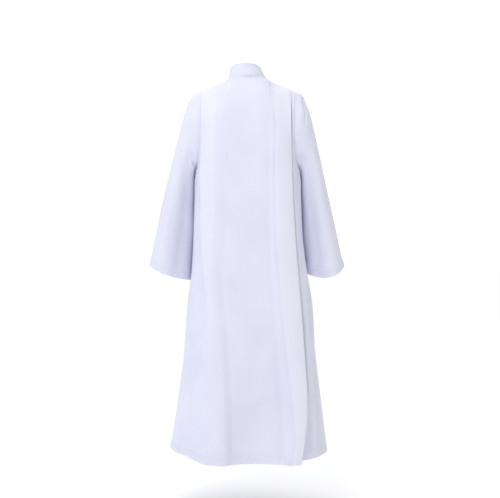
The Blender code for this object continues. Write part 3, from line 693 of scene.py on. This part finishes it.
def sleeve_grid(table, wrinkles, side):
    """Middle surface of a sleeve: rows from the armhole to the cuff, columns all the way round."""
    places = np.arange(len(table))
    last = places[-1]
    turns = np.linspace(0, 1, YOKE_ROWS + 1)
    v = np.concatenate([turns[:-1], turns[:0:-1]])
    face = np.repeat([1.0, -1.0], YOKE_ROWS)
    zone = last * (1 - HEM_ZONE / SLEEVE_LENGTH)
    levels = np.concatenate([np.linspace(0, zone, SLEEVE_ROWS + 1),
                             np.linspace(zone, last, HEM_ROWS + 1)[1:]])
    armhole = np.where(face > 0, ARMHOLE_BACK, ARMHOLE_FRONT)
    scoop = SCOOP_LEFT if side > 0 else SCOOP_RIGHT
    rows = []
    for t in levels:
        cut = Cuff(*(through(places, [getattr(row, name) for row in table], t)
                     for name in Cuff._fields))
        start = 1 - ease(t / ARMHOLE_REACH)
        fullness = SLEEVE_FULLNESS * ease((t - FULL_FROM) / FULL_OVER)
        flare = CUFF_TURN * ease(t - last + 1)
        outer = np.array([cut.outer_x + flare, cut.outer_z])
        inner = np.array([cut.inner_x - flare / 4, cut.inner_z])
        depth = cut.depth + (armhole - cut.depth) * start + flare
        middle, half = (outer + inner) / 2, (outer - inner) / 2
        x = middle[0] + half[0] * np.cos(v * pi) - scoop * np.sin(v * pi) * start
        y = face * depth * np.abs(np.sin(v * pi)) ** (1 - fullness)
        y = y - cut.forward - cut.lean * ((1 - np.cos(v * pi)) / 2) ** 2
        z = middle[1] + half[1] * np.cos(v * pi) - cut.drop * np.sin(v * pi) ** 2
        rows.append(points_of(side * x, y, z))
    grid = np.array(rows)
    normals = grid_normals(grid, True, side * -1)
    s = (levels / last)[:, None]
    w = (face * v)[None, :]
    lift = np.zeros(grid.shape[:2])
    for fold in wrinkles:
        t = np.clip((s - fold.s_top) / (fold.s_foot - fold.s_top), 0, 1)
        beyond = np.maximum(fold.s_top - s, 0) + np.maximum(s - fold.s_foot, 0)
        aside = np.abs(w - (fold.w_top + (fold.w_foot - fold.w_top) * t))
        aside = np.minimum(aside, 2 - aside)
        reach = np.hypot(aside / fold.width, beyond / fold.width)
        lift += fold.height * crease_share(t, reach)
    return grid + normals * (lift * ease(s / HELD_ARMHOLE))[..., None]


def collar_grid():
    """Middle surface of the collar: rows upwards, columns from the left end to the right."""
    neck = neck_shares()
    around = quarter_girth(ARMPIT_Z, -1)
    front = front_shares(around, neck)
    front = front[front <= neck[-1] + 1e-9]
    turn = np.concatenate([
        neck_turn(front, -1), neck_turn(neck[-2::-1], 1),
        -neck_turn(neck[1:-1], 1), -neck_turn(front[::-1], -1)])
    level = np.concatenate([
        lap_level(1, front, around), np.zeros(2 * NECK_STEPS - 1), lap_level(-1, front, around)[::-1]])
    rows = []
    foot, top = collar_point(COLLAR_SEAM, turn), collar_point(COLLAR_TOP, turn)
    for share in np.linspace(0, 1, COLLAR_ROWS + 1):
        lift = points_of(np.sin(turn), np.cos(turn), 1 - share) * level[:, None]
        soft = collar_lift(turn, share)
        lift += points_of(np.sin(turn), np.cos(turn), 0.0) * soft[:, None]
        rows.append(foot + (top - foot) * share + lift)
    return np.array(rows)


def collar_lift(turn, share):
    """How far the collar's creases push it in or out."""
    strength = bpy.context.scene.alb_cloth.crease_strength
    lift = np.zeros_like(turn)
    for dent in COLLAR_DENTS:
        reach = np.hypot((turn - dent.turn) / dent.wide, (share - dent.share) / dent.tall)
        lift += dent.height * strength * np.exp(-reach ** 2)
    return lift * ease(share / HELD_NECK)


# ---- Cloth walls ----


def grid_normals(grid, closed, outward):
    """Normals of a middle surface at its points; outward is 1 or -1."""
    if closed:
        grid = np.concatenate([grid, grid[:, :1]], axis=1)
    cross = np.cross(grid[:-1, 1:] - grid[1:, :-1], grid[1:, 1:] - grid[:-1, :-1]) * outward
    normals = np.zeros_like(grid)
    for down in (slice(0, -1), slice(1, None)):
        for across in (slice(0, -1), slice(1, None)):
            normals[down, across] += cross
    if closed:
        normals[:, 0] += normals[:, -1]
        normals = normals[:, :-1]
    return unit(normals)


def lengths_down(grid):
    """Distance of each point from the grid's first row, along its column."""
    steps = np.linalg.norm(np.diff(grid, axis=0), axis=-1)
    return np.concatenate([np.zeros((1, grid.shape[1])), np.cumsum(steps, axis=0)])


def lengths_up_down(grid):
    """Distances of each point from its column's last row, and from its first one."""
    down = lengths_down(grid)
    return down[-1] - down, down


def lengths_across(grid):
    """Distance of each point from the grid's middle column, along its row."""
    steps = np.linalg.norm(np.diff(grid, axis=1), axis=-1)
    run = np.concatenate([np.zeros((grid.shape[0], 1)), np.cumsum(steps, axis=1)], axis=1)
    return run - run[:, [run.shape[1] // 2]]


def hem_waves(grid, normals, reach, calm):
    """Slow uneven waves of a hem: reach is the distance to it, calm the width without waves."""
    along = lengths_across(grid)[-1][None, :]
    wave = sum(w.height * np.sin(2 * pi * along / w.length + w.shift) for w in HEM_WAVES)
    # Where two pieces lap, neither has waves of its own.
    wave = wave * ease(1 + (along - along[:, :1] - calm) / LAP_EASE)
    return grid + normals * (wave * (1 - ease(reach / WAVE_REACH)) ** 2)[..., None]


def sheet_arrays(rows, columns, closed):
    """Faces of a wall of cloth: outer layer, inner layer and rims."""
    other = rows * columns
    across = np.arange(columns if closed else columns - 1)
    beyond = (across + 1) % columns
    top = np.arange(rows - 1)[:, None] * columns
    outer = np.stack([top + across, top + beyond, top + columns + beyond, top + columns + across], -1)
    outer = outer.reshape(-1, 4)
    faces = [outer, outer[:, ::-1] + other]
    for row, near, far in ((0, other, 0), (rows - 1, 0, other)):
        a, b = row * columns + across, row * columns + beyond
        faces.append(np.stack([near + a, near + b, far + b, far + a], -1))
    if not closed:
        down = np.arange(rows - 1) * columns
        for col, near, far in ((0, 0, other), (columns - 1, other, 0)):
            a = down + col
            faces.append(np.stack([near + a, near + a + columns, far + a + columns, far + a], -1))
    return np.concatenate(faces)


def new_mesh(name, points, faces, material):
    """A smooth mesh of one material."""
    mesh = bpy.data.meshes.new(name)
    mesh.from_pydata(points.reshape(-1, 3), [], faces.tolist())
    mesh.shade_smooth()
    mesh.materials.append(material)
    return mesh


def add_object(name, data):
    """Adds an object to the scene."""
    thing = bpy.data.objects.new(name, data)
    bpy.context.scene.collection.objects.link(thing)
    return thing


def add_cloth(name, grid, closed, outward, extra, stitch, layers_and_light=0.0):
    """One thin wall of cloth. extra thickens it inwards where it is doubled; stitch holds each
    point's distance from the nearest sewn line and its place along it; the last argument is how
    much whiter the cloth is painted, partly for other layers behind it and partly painted light."""
    thickness = bpy.context.scene.alb_cloth.thickness
    rows, columns = grid.shape[:2]
    normals = grid_normals(grid, closed, outward)
    outer = grid + normals * thickness / 2
    inner = grid - normals * (thickness / 2 + extra)[..., None]
    faces = sheet_arrays(rows, columns, closed)
    if outward < 0:
        faces = faces[:, ::-1]
    mesh = new_mesh(name, np.stack([outer, inner]), faces, plain_weave_material())
    mesh.set_sharp_from_angle(angle=SHARP_ANGLE)
    # The third coordinate of the cut carries how much whiter the cloth is painted, partly painted light.
    cut = points_of(lengths_across(grid), lengths_down(grid), layers_and_light)
    sewn = points_of(stitch[..., 0], stitch[..., 1], 0.0)
    for label, values in (("cut", cut), ("sewn", sewn)):
        layer = mesh.attributes.new(label, "FLOAT_VECTOR", "POINT")
        layer.data.foreach_set("vector", np.concatenate([values, values]).ravel().astype(np.float32))
    add_map(mesh, rows, columns)
    return add_object(name, mesh), outer, normals


def add_map(mesh, rows, columns):
    """Flat layout of a wall: its outer layer in the left half and its inner one in the right."""
    count = rows * columns
    index = np.zeros(len(mesh.loops), np.int32)
    mesh.loops.foreach_get("vertex_index", index)
    inner = index >= count
    place = np.where(inner, index - count, index)
    u = (place % columns) / columns * (0.5 - 2 * MAP_MARGIN) + MAP_MARGIN + 0.5 * inner
    v = 1 - MAP_MARGIN - (place // columns) / rows * (1 - 2 * MAP_MARGIN)
    layer = mesh.uv_layers.new(name="layout")
    layer.data.foreach_set("uv", np.stack([u, v], -1).ravel().astype(np.float32))


def nearest_line(distances, places, closed=False):
    """For each point, the signed distance to its nearest sewn line and its place along it."""
    distances, places = np.stack(distances, -1), np.stack(places, -1)
    pick = np.abs(distances).argmin(axis=-1)
    # Places along two lines don't join up, so nothing is drawn where the nearest one changes.
    apart = np.zeros(pick.shape, bool)
    down, across = pick[1:] != pick[:-1], pick[:, 1:] != pick[:, :-1]
    apart[1:] |= down
    apart[:-1] |= down
    apart[:, 1:] |= across
    apart[:, :-1] |= across
    if closed:
        apart[:, [0, -1]] = True
    near = np.take_along_axis(distances, pick[..., None], -1)[..., 0]
    along = np.take_along_axis(places, pick[..., None], -1)[..., 0]
    return np.stack([np.where(apart, PUCKER_REACH, near), along], -1)


def line_at(points, distances, value):
    """Points down each column where a distance that changes along it reaches a value."""
    line = []
    for c in range(points.shape[1]):
        order = np.argsort(distances[:, c])
        line.append([np.interp(value, distances[order, c], points[order, c, k]) for k in range(3)])
    return np.array(line)


def stitch_points(path, normals):
    """Corners of the thread's stitches along a path on the cloth."""
    cloth = bpy.context.scene.alb_cloth
    run = np.concatenate([[0.0], np.cumsum(np.linalg.norm(np.diff(path, axis=0), axis=-1))])
    pitch = cloth.stitch_length * STITCH_PITCH
    middles = np.arange(pitch / 2, run[-1] - pitch / 2, pitch)
    half = cloth.stitch_length / 2

    def at(where, values):
        return np.stack([np.interp(where, run, values[:, k]) for k in range(3)], -1)

    start, end = at(middles - half, path), at(middles + half, path)
    up = unit(at(middles, normals))
    along = unit(end - start)
    side = np.cross(along, up)
    radius = cloth.thread_width / 2
    corners = [start]
    for share in (0.25, 0.75):
        centre = start + (end - start) * share
        for k in range(STITCH_SIDES):
            angle = 2 * pi * (k + 0.5) / STITCH_SIDES
            corners.append(centre + (side * np.cos(angle) + up * np.sin(angle)) * radius)
    corners.append(end)
    return np.stack(corners, axis=1)


def add_stitching(name, rows):
    """Rows of stitches as one piece. rows is a list of (path, normals)."""
    corners = np.concatenate([stitch_points(path, normals) for path, normals in rows])
    count = corners.shape[1]
    pattern = []
    for k in range(STITCH_SIDES):
        a, b = 1 + k, 1 + (k + 1) % STITCH_SIDES
        c, d = a + STITCH_SIDES, b + STITCH_SIDES
        pattern += [(0, b, a), (a, b, d), (a, d, c), (c, d, count - 1)]
    faces = (np.arange(len(corners))[:, None, None] * count + np.array(pattern)).reshape(-1, 3)
    piece = add_object(name, new_mesh(name, corners, faces, thread_material()))
    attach(piece, "root")
    return piece


def sewn_piece(piece, node, flat, area, stitching):
    """Hangs a cloth piece from the root, and hides the solid it stands for."""
    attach(piece, "root")
    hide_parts(node)


# ---- Materials ----


def to_linear(code):
    """Linear colour of an sRGB hex value."""
    channels = [int(code[k:k + 2], 16) / 255 for k in (0, 2, 4)]
    return tuple(c / 12.92 if c <= 0.04045 else ((c + 0.055) / 1.055) ** 2.4 for c in channels)


def add_node(tree, kind, settings=None, inputs=None):
    """Adds a node with its settings, and with values or links into its inputs."""
    node = tree.nodes.new(kind)
    for name, value in (settings or {}).items():
        setattr(node, name, value)
    for name, value in (inputs or {}).items():
        if isinstance(value, bpy.types.NodeSocket):
            tree.links.new(value, node.inputs[name])
        else:
            node.inputs[name].default_value = value
    return node


def math_of(tree, operation, *values):
    """Result of a sum on values or links."""
    return add_node(tree, "ShaderNodeMath", {"operation": operation}, dict(enumerate(values))).outputs[0]


def range_of(tree, value, start, end, first, last, kind="SMOOTHSTEP"):
    """A value's way from start to end, turned into one from first to last."""
    return add_node(tree, "ShaderNodeMapRange", {"interpolation_type": kind}, {
        "Value": value, "From Min": start, "From Max": end, "To Min": first, "To Max": last,
    }).outputs["Result"]


def noise_of(tree, place, scale, detail, dimensions="2D"):
    """Noise at a place."""
    return add_node(tree, "ShaderNodeTexNoise", {"noise_dimensions": dimensions}, {
        "Vector": place, "Scale": scale, "Detail": detail}).outputs["Fac"]


def scaled(tree, place, size):
    """A place with each of its coordinates scaled."""
    return add_node(tree, "ShaderNodeMapping", {"vector_type": "POINT"}, {
        "Vector": place, "Scale": size}).outputs["Vector"]


def mix_of(tree, share, first, second):
    """Colour between two others."""
    return add_node(tree, "ShaderNodeMix", {"data_type": "RGBA"}, {
        "Factor": share, "A": first, "B": second}).outputs["Result"]


def named(tree, name):
    """One of the cloth's own measures, and its single coordinates."""
    whole = add_node(tree, "ShaderNodeAttribute", {"attribute_name": name}).outputs["Vector"]
    return whole, add_node(tree, "ShaderNodeSeparateXYZ", inputs={"Vector": whole}).outputs


def new_material(name):
    """A new material, with its node tree and its shader."""
    material = bpy.data.materials.new(name)
    material.use_nodes = True
    return material, material.node_tree, material.node_tree.nodes["Principled BSDF"]


def plain_weave_material():
    """Polyester and cotton plain weave, optically bleached and pressed.

    A close even weave with a slightly blue white, matt, with the soft sheen of its fibre ends
    and a faint unevenness where threads are thicker.
    """
    cloth = bpy.context.scene.alb_cloth
    made = bpy.data.materials.get("polyester_cotton_plain_weave")
    if made:
        return made
    material, tree, shader = new_material("polyester_cotton_plain_weave")
    cut, where = named(tree, "cut")
    # Real threads lie 0.35 mm apart. They are drawn thread_spacing apart, so that they show.
    waves = [math_of(tree, "SINE", math_of(tree, "MULTIPLY", where[axis], 2 * pi / cloth.thread_spacing))
             for axis in ("X", "Y")]
    weave = math_of(tree, "MULTIPLY", *waves)
    # Thicker stretches of thread: about 45 mm long and 3 mm wide, along both directions.
    slubs = [noise_of(tree, scaled(tree, cut, size), 1.0, 2.0)
             for size in ((330.0, 22.0, 1.0), (22.0, 330.0, 1.0))]
    slub = math_of(tree, "ADD", *slubs)
    threads = math_of(tree, "MULTIPLY_ADD", weave, 0.35, slub)
    woven = add_node(tree, "ShaderNodeBump", inputs={
        "Strength": 0.35, "Distance": THREAD_DEPTH, "Height": threads})

    # Puckers across each sewn line, about 10 mm apart, dying out PUCKER_REACH from it.
    sewn, line = named(tree, "sewn")
    pucker = noise_of(tree, scaled(tree, sewn, (18.0, 105.0, 1.0)), 1.0, 1.0)
    away = math_of(tree, "ABSOLUTE", line["X"])
    near = range_of(tree, away, 0.0, PUCKER_REACH, 1.0, 0.0)
    # The line itself is pulled in by its thread.
    pulled = range_of(tree, away, 0.0, PULLED_WIDTH, -0.3, 0.0)
    sewing = math_of(tree, "ADD", math_of(tree, "MULTIPLY", pucker, near), pulled)
    puckered = add_node(tree, "ShaderNodeBump", inputs={
        "Strength": 1.0, "Distance": PUCKER_DEPTH, "Height": sewing,
        "Normal": woven.outputs["Normal"]})
    tree.links.new(puckered.outputs["Normal"], shader.inputs["Normal"])

    # Slow unevenness of the white, about 160 mm across, and finer with the slubs.
    mixed = math_of(tree, "MULTIPLY_ADD", slub, 0.25, noise_of(tree, cut, 6.0, 2.0))
    share = range_of(tree, mixed, 0.5, 1.0, 0.0, 1.0, "LINEAR")
    tone = mix_of(tree, share, (*cloth.shade, 1.0), (*cloth.white, 1.0))
    # The pleats' tops are painted whiter: partly the real whiteness of cloth with more layers behind it,
    # partly painted light for the light they catch.
    layered_and_lit = mix_of(tree, where["Z"], tone, (*cloth.layered_and_lit_white, 1.0))
    tree.links.new(layered_and_lit, shader.inputs["Base Color"])
    rough = range_of(tree, slub, 0.6, 1.4, 0.74, 0.84, "LINEAR")
    tree.links.new(rough, shader.inputs["Roughness"])
    # Polyester is 1.57 and cotton 1.53 to 1.58.
    shader.inputs["IOR"].default_value = 1.55
    shader.inputs["Specular IOR Level"].default_value = 0.35
    shader.inputs["Sheen Weight"].default_value = 0.25
    shader.inputs["Sheen Roughness"].default_value = 0.45
    shader.inputs["Sheen Tint"].default_value = (0.93, 0.94, 1.0, 1.0)
    return material


def thread_material():
    """Spun polyester sewing thread: a white twisted thread with a little more gloss."""
    cloth = bpy.context.scene.alb_cloth
    made = bpy.data.materials.get("spun_polyester_thread")
    if made:
        return made
    material, tree, shader = new_material("spun_polyester_thread")
    place = add_node(tree, "ShaderNodeTexCoord").outputs["Object"]
    # The twist of the thread, one turn each millimetre.
    twist = noise_of(tree, place, 1000.0, 1.0, "3D")
    tone = mix_of(tree, twist, (*cloth.shade, 1.0), (*cloth.thread, 1.0))
    tree.links.new(tone, shader.inputs["Base Color"])
    shader.inputs["Roughness"].default_value = 0.5
    shader.inputs["IOR"].default_value = 1.57
    return material


def paper_material():
    """Matt studio background paper, rolled: pale, with a faint cloudiness of its pulp."""
    stage = bpy.context.scene.alb_stage
    material, tree, shader = new_material("studio_paper")
    place = add_node(tree, "ShaderNodeTexCoord").outputs["Object"]
    brighter = [min(1.0, c * 1.01) for c in stage.paper]
    cloud = noise_of(tree, place, 2.0, 3.0, "3D")
    tone = mix_of(tree, cloud, (*stage.paper, 1.0), (*brighter, 1.0))
    tree.links.new(tone, shader.inputs["Base Color"])
    shader.inputs["Roughness"].default_value = 0.9
    shader.inputs["Specular IOR Level"].default_value = 0.2
    return material


# ---- Settings ----


def length_setting(name, about, default, least, most):
    """A setting that is a length."""
    return FloatProperty(name=name, description=about, default=default, min=least, max=most,
                         precision=4, unit="LENGTH")


def colour_setting(name, about, code):
    """A setting that is a colour, from its sRGB hex value."""
    return FloatVectorProperty(name=name, description=about, default=to_linear(code),
                               min=0.0, max=1.0, subtype="COLOR")


class AlbClothSettings(bpy.types.PropertyGroup):
    """Sizes and colours of the cloth and its sewing."""
    thickness: length_setting("Cloth thickness", "Thickness of one layer of cloth", 0.0008, 0.0002, 0.002)
    hem_depth: length_setting("Hem depth", "Height of the turned-up hem of the skirt", 0.027, 0.01, 0.04)
    cuff_depth: length_setting("Cuff hem depth", "Height of the turned-up hem of the sleeves",
                               0.025, 0.01, 0.04)
    crease_strength: FloatProperty(
        name="Creases", description="How strongly the hand-placed creases show",
        default=1.0, min=0.0, max=1.5, subtype="FACTOR")
    thread_spacing: length_setting("Thread spacing", "Spacing at which the weave's threads are drawn",
                                   0.0024, 0.0004, 0.006)
    stitch_length: length_setting("Stitch length", "Length of one stitch", 0.0042, 0.002, 0.008)
    thread_width: length_setting("Thread width", "Width at which the sewing thread is drawn",
                                 0.0009, 0.0003, 0.002)
    white: colour_setting("White", "The cloth's main colour", "E4E5F3")
    shade: colour_setting("Shade", "The cloth's slightly darker colour", "DEDFEF")
    # The whiter colour painted over the pleats' tops: partly the real colour of cloth with more layers
    # behind it, partly painted light.
    layered_and_lit_white: colour_setting("Layered white", "The cloth's colour with more layers behind it",
                                  "EDEEFB")
    thread: colour_setting("Thread", "The sewing thread's colour", "F4F5FC")


class AlbStageSettings(bpy.types.PropertyGroup):
    """Sizes and colours of the studio stage."""
    floor_drop: length_setting("Floor below hem", "How far the floor lies below the hem", 0.240, 0.0, 0.5)
    paper: colour_setting("Paper", "Colour of the studio paper", "FBFBFC")
    key_power: FloatProperty(
        name="Key light", description="Power of the main soft light",
        default=20.0, min=0.0, max=500.0, unit="POWER")


# ---- Operators ----


class ALB_OT_back(bpy.types.Operator):
    """Builds the back with its two knife pleats, creases and hem"""
    bl_idname = "alb.back"
    bl_label = "Back"

    def execute(self, context):
        grid = back_grid()
        # The pleats' tops are painted whiter, partly painted light.
        add_panel("back", grid, 1, False, pleat_layers_and_light(grid.shape[1]))
        return {"FINISHED"}


class ALB_OT_fronts(bpy.types.Operator):
    """Builds the two fronts, the left lapped over the right"""
    bl_idname = "alb.fronts"
    bl_label = "Fronts"

    def execute(self, context):
        for name, side in (("front_left", 1), ("front_right", -1)):
            add_panel(name, front_grid(side), -side, True, 0.0)
        return {"FINISHED"}


class ALB_OT_sleeves(bpy.types.Operator):
    """Builds the two bell sleeves with their cuff hems"""
    bl_idname = "alb.sleeves"
    bl_label = "Sleeves"

    def execute(self, context):
        depth = context.scene.alb_cloth.cuff_depth
        tables = (("sleeve_left", SLEEVE_LEFT, WRINKLES_LEFT, 1),
                  ("sleeve_right", SLEEVE_RIGHT, WRINKLES_RIGHT, -1))
        for name, table, wrinkles, side in tables:
            grid = sleeve_grid(table, wrinkles, side)
            above, down = lengths_up_down(grid)
            run = np.concatenate([grid, grid[:, :1]], axis=1)
            around = lengths_across(run)[:, :-1]
            stitch = nearest_line([above - depth, down], [around, around], True)
            extra = np.where(above < depth, DOUBLED, 0.0) * context.scene.alb_cloth.thickness
            piece, outer, normals = add_cloth("alb_" + name, grid, True, -side, extra, stitch)
            ring = list(range(grid.shape[1])) + [0]
            path = line_at(outer, above, depth)[ring]
            stitching = [add_stitching("alb_" + name + "_stitching",
                                       [(path, normals[-HEM_ROWS][ring])])]
            sewn_piece(piece, name, *cut_of(run), stitching)
        return {"FINISHED"}


class ALB_OT_collar(bpy.types.Operator):
    """Builds the stand collar with its edge stitching"""
    bl_idname = "alb.collar"
    bl_label = "Collar"

    def execute(self, context):
        grid = collar_grid()
        below, up = lengths_up_down(grid)
        across = lengths_across(grid)
        stitch = nearest_line([below - COLLAR_EDGE, up], [across, across])
        extra = np.full(grid.shape[:2], context.scene.alb_cloth.thickness)
        piece, outer, normals = add_cloth("alb_collar", grid, False, 1, extra, stitch)
        rows = [(line_at(outer, below, COLLAR_EDGE), normals[-2]),
                (line_at(outer, up, COLLAR_EDGE), normals[2])]
        stitching = [add_stitching("alb_collar_stitching", rows)]
        sewn_piece(piece, "collar", *cut_of(grid), stitching)
        return {"FINISHED"}


class ALB_OT_stage(bpy.types.Operator):
    """Lays the pale floor, and sets the soft lights and the camera"""
    bl_idname = "alb.stage"
    bl_label = "Stage"

    def execute(self, context):
        scene = context.scene
        stage = scene.alb_stage
        turns = np.linspace(0, 2 * pi, FLOOR_SIDES + 1)[:-1]
        level = HEM_Z - stage.floor_drop
        mesh = bpy.data.meshes.new("studio_floor")
        edge = points_of(FLOOR_RADIUS * np.cos(turns), FLOOR_RADIUS * np.sin(turns), level)
        mesh.from_pydata(edge.tolist(), [], [tuple(range(FLOOR_SIDES))])
        mesh.materials.append(paper_material())
        floor = add_object("studio_floor", mesh)

        world = bpy.data.worlds.new("soft_studio_light")
        scene.world = world
        world.use_nodes = True
        tree = world.node_tree
        sky = add_node(tree, "ShaderNodeTexCoord").outputs["Generated"]
        up = add_node(tree, "ShaderNodeSeparateXYZ", inputs={"Vector": sky}).outputs
        wall = range_of(tree, up["Y"], -0.5, 0.6, PAPER_LIGHT, ROOM_LIGHT)
        above = range_of(tree, up["Z"], 0.2, 0.95, wall, CEILING_LIGHT)
        aside = range_of(tree, up["X"], -1.0, -0.4, RIGHT_SHARE, 1.0)
        share = range_of(tree, up["X"], -1.0, -0.3, 0.0, 1.0)
        tint = mix_of(tree, share, LAMP_TINT, DAY_TINT)
        room = tree.nodes["Background"]
        tree.links.new(tint, room.inputs["Color"])
        tree.links.new(math_of(tree, "MULTIPLY", above, aside), room.inputs["Strength"])
        # The camera sees one plain white past the garment.
        plain = add_node(tree, "ShaderNodeBackground", inputs={
            "Color": (1.0, 1.0, 1.0, 1.0), "Strength": PLAIN_WHITE})
        seen = add_node(tree, "ShaderNodeLightPath")
        light = add_node(tree, "ShaderNodeMixShader", inputs={
            0: seen.outputs["Is Camera Ray"],
            1: room.outputs["Background"],
            2: plain.outputs["Background"]})
        tree.links.new(light.outputs["Shader"], tree.nodes["World Output"].inputs["Surface"])

        for name, place, target, size, share in LIGHTS:
            self.add_light(name, place, target, size, share * stage.key_power)

        lens = bpy.data.cameras.new("camera")
        lens.lens = LENS_MM
        lens.sensor_width = SENSOR_MM
        camera = add_object("camera", lens)
        camera.location = CAMERA_PLACE
        camera.rotation_euler = (pi / 2, 0.0, pi)
        scene.camera = camera
        scene.view_settings.view_transform = "Standard"
        return {"FINISHED"}

    def add_light(self, name, place, target, size, power):
        """Adds one soft square light, turned to its target."""
        data = bpy.data.lights.new(name, "AREA")
        data.size = size
        data.energy = power
        lamp = add_object(name, data)
        lamp.location = place
        lamp.rotation_euler = (Vector(target) - Vector(place)).to_track_quat("-Z", "Y").to_euler()


def add_panel(node, grid, outward, lapped, layers_and_light):
    """Adds a back or front panel with its hem, its seams and its stitching."""
    name = "alb_" + node
    cloth = bpy.context.scene.alb_cloth
    depth = cloth.hem_depth
    above, down = lengths_up_down(grid)
    calm = 2 * LAP + LAP_EASE if lapped else 0.0
    grid = hem_waves(grid, grid_normals(grid, False, outward), above, calm)
    above, down = lengths_up_down(grid)
    across = lengths_across(grid)
    left, right = across - across[:, :1], across[:, -1:] - across
    distances = [above - depth, down, right if lapped else np.minimum(left, right)]
    places = [across, across, down]
    if lapped:
        distances.append(left - FRONT_EDGE)
        places.append(down)
    stitch = nearest_line(distances, places)
    # The hem is doubled inwards, but lies flat where the fronts lap.
    doubled = (above < depth) & ((left > 2 * LAP + FRONT_EDGE) | (not lapped))
    extra = np.where(doubled, DOUBLED, 0.0) * cloth.thickness
    piece, outer, normals = add_cloth(name, grid, False, outward, extra, stitch, layers_and_light)
    rows = [(line_at(outer, above, depth), normals[-HEM_ROWS])]
    if lapped:
        swapped = np.swapaxes(outer, 0, 1)
        rows.append((line_at(swapped, np.swapaxes(left, 0, 1), FRONT_EDGE), normals[:, 1]))
    sewn_piece(piece, node, *cut_of(grid), [add_stitching(name + "_stitching", rows)])


def cut_of(grid):
    """Size that a piece was cut to, (width, length) and area, from its own surface."""
    width = np.linalg.norm(np.diff(grid, axis=1), axis=-1).sum(axis=1).max()
    length = np.linalg.norm(np.diff(grid, axis=0), axis=-1).sum(axis=0).max()
    cross = np.cross(grid[:-1, 1:] - grid[1:, :-1], grid[1:, 1:] - grid[:-1, :-1])
    return (float(width), float(length)), float(np.linalg.norm(cross, axis=-1).sum() / 2)


class ALB_PT_panel(bpy.types.Panel):
    """Lists the alb's settings and the steps that build it"""
    bl_idname = "ALB_PT_panel"
    bl_label = "Alb"
    bl_space_type = "VIEW_3D"
    bl_region_type = "UI"
    bl_category = "Alb"

    def draw(self, context):
        scene = context.scene
        for group in (scene.alb_cloth, scene.alb_stage):
            for name in group.bl_rna.properties.keys():
                if name not in ("rna_type", "name"):
                    self.layout.prop(group, name)
        for operator in OPERATORS:
            self.layout.operator(operator.bl_idname)


OPERATORS = (ALB_OT_stage, ALB_OT_back, ALB_OT_fronts, ALB_OT_sleeves, ALB_OT_collar)
CLASSES = (AlbClothSettings, AlbStageSettings, *OPERATORS, ALB_PT_panel)


def register():
    """Adds the settings, operators and panel."""
    for item in CLASSES:
        bpy.utils.register_class(item)
    bpy.types.Scene.alb_cloth = PointerProperty(type=AlbClothSettings)
    bpy.types.Scene.alb_stage = PointerProperty(type=AlbStageSettings)


def unregister():
    """Takes them away again."""
    del bpy.types.Scene.alb_stage
    del bpy.types.Scene.alb_cloth
    for item in reversed(CLASSES):
        bpy.utils.unregister_class(item)


def main():
    """Builds the alb and its stage."""
    register()
    bpy.ops.alb.stage()
    bpy.ops.alb.back()
    bpy.ops.alb.fronts()
    bpy.ops.alb.sleeves()
    bpy.ops.alb.collar()
    bpy.context.view_layer.update()


if __name__ == "__main__":
    main()
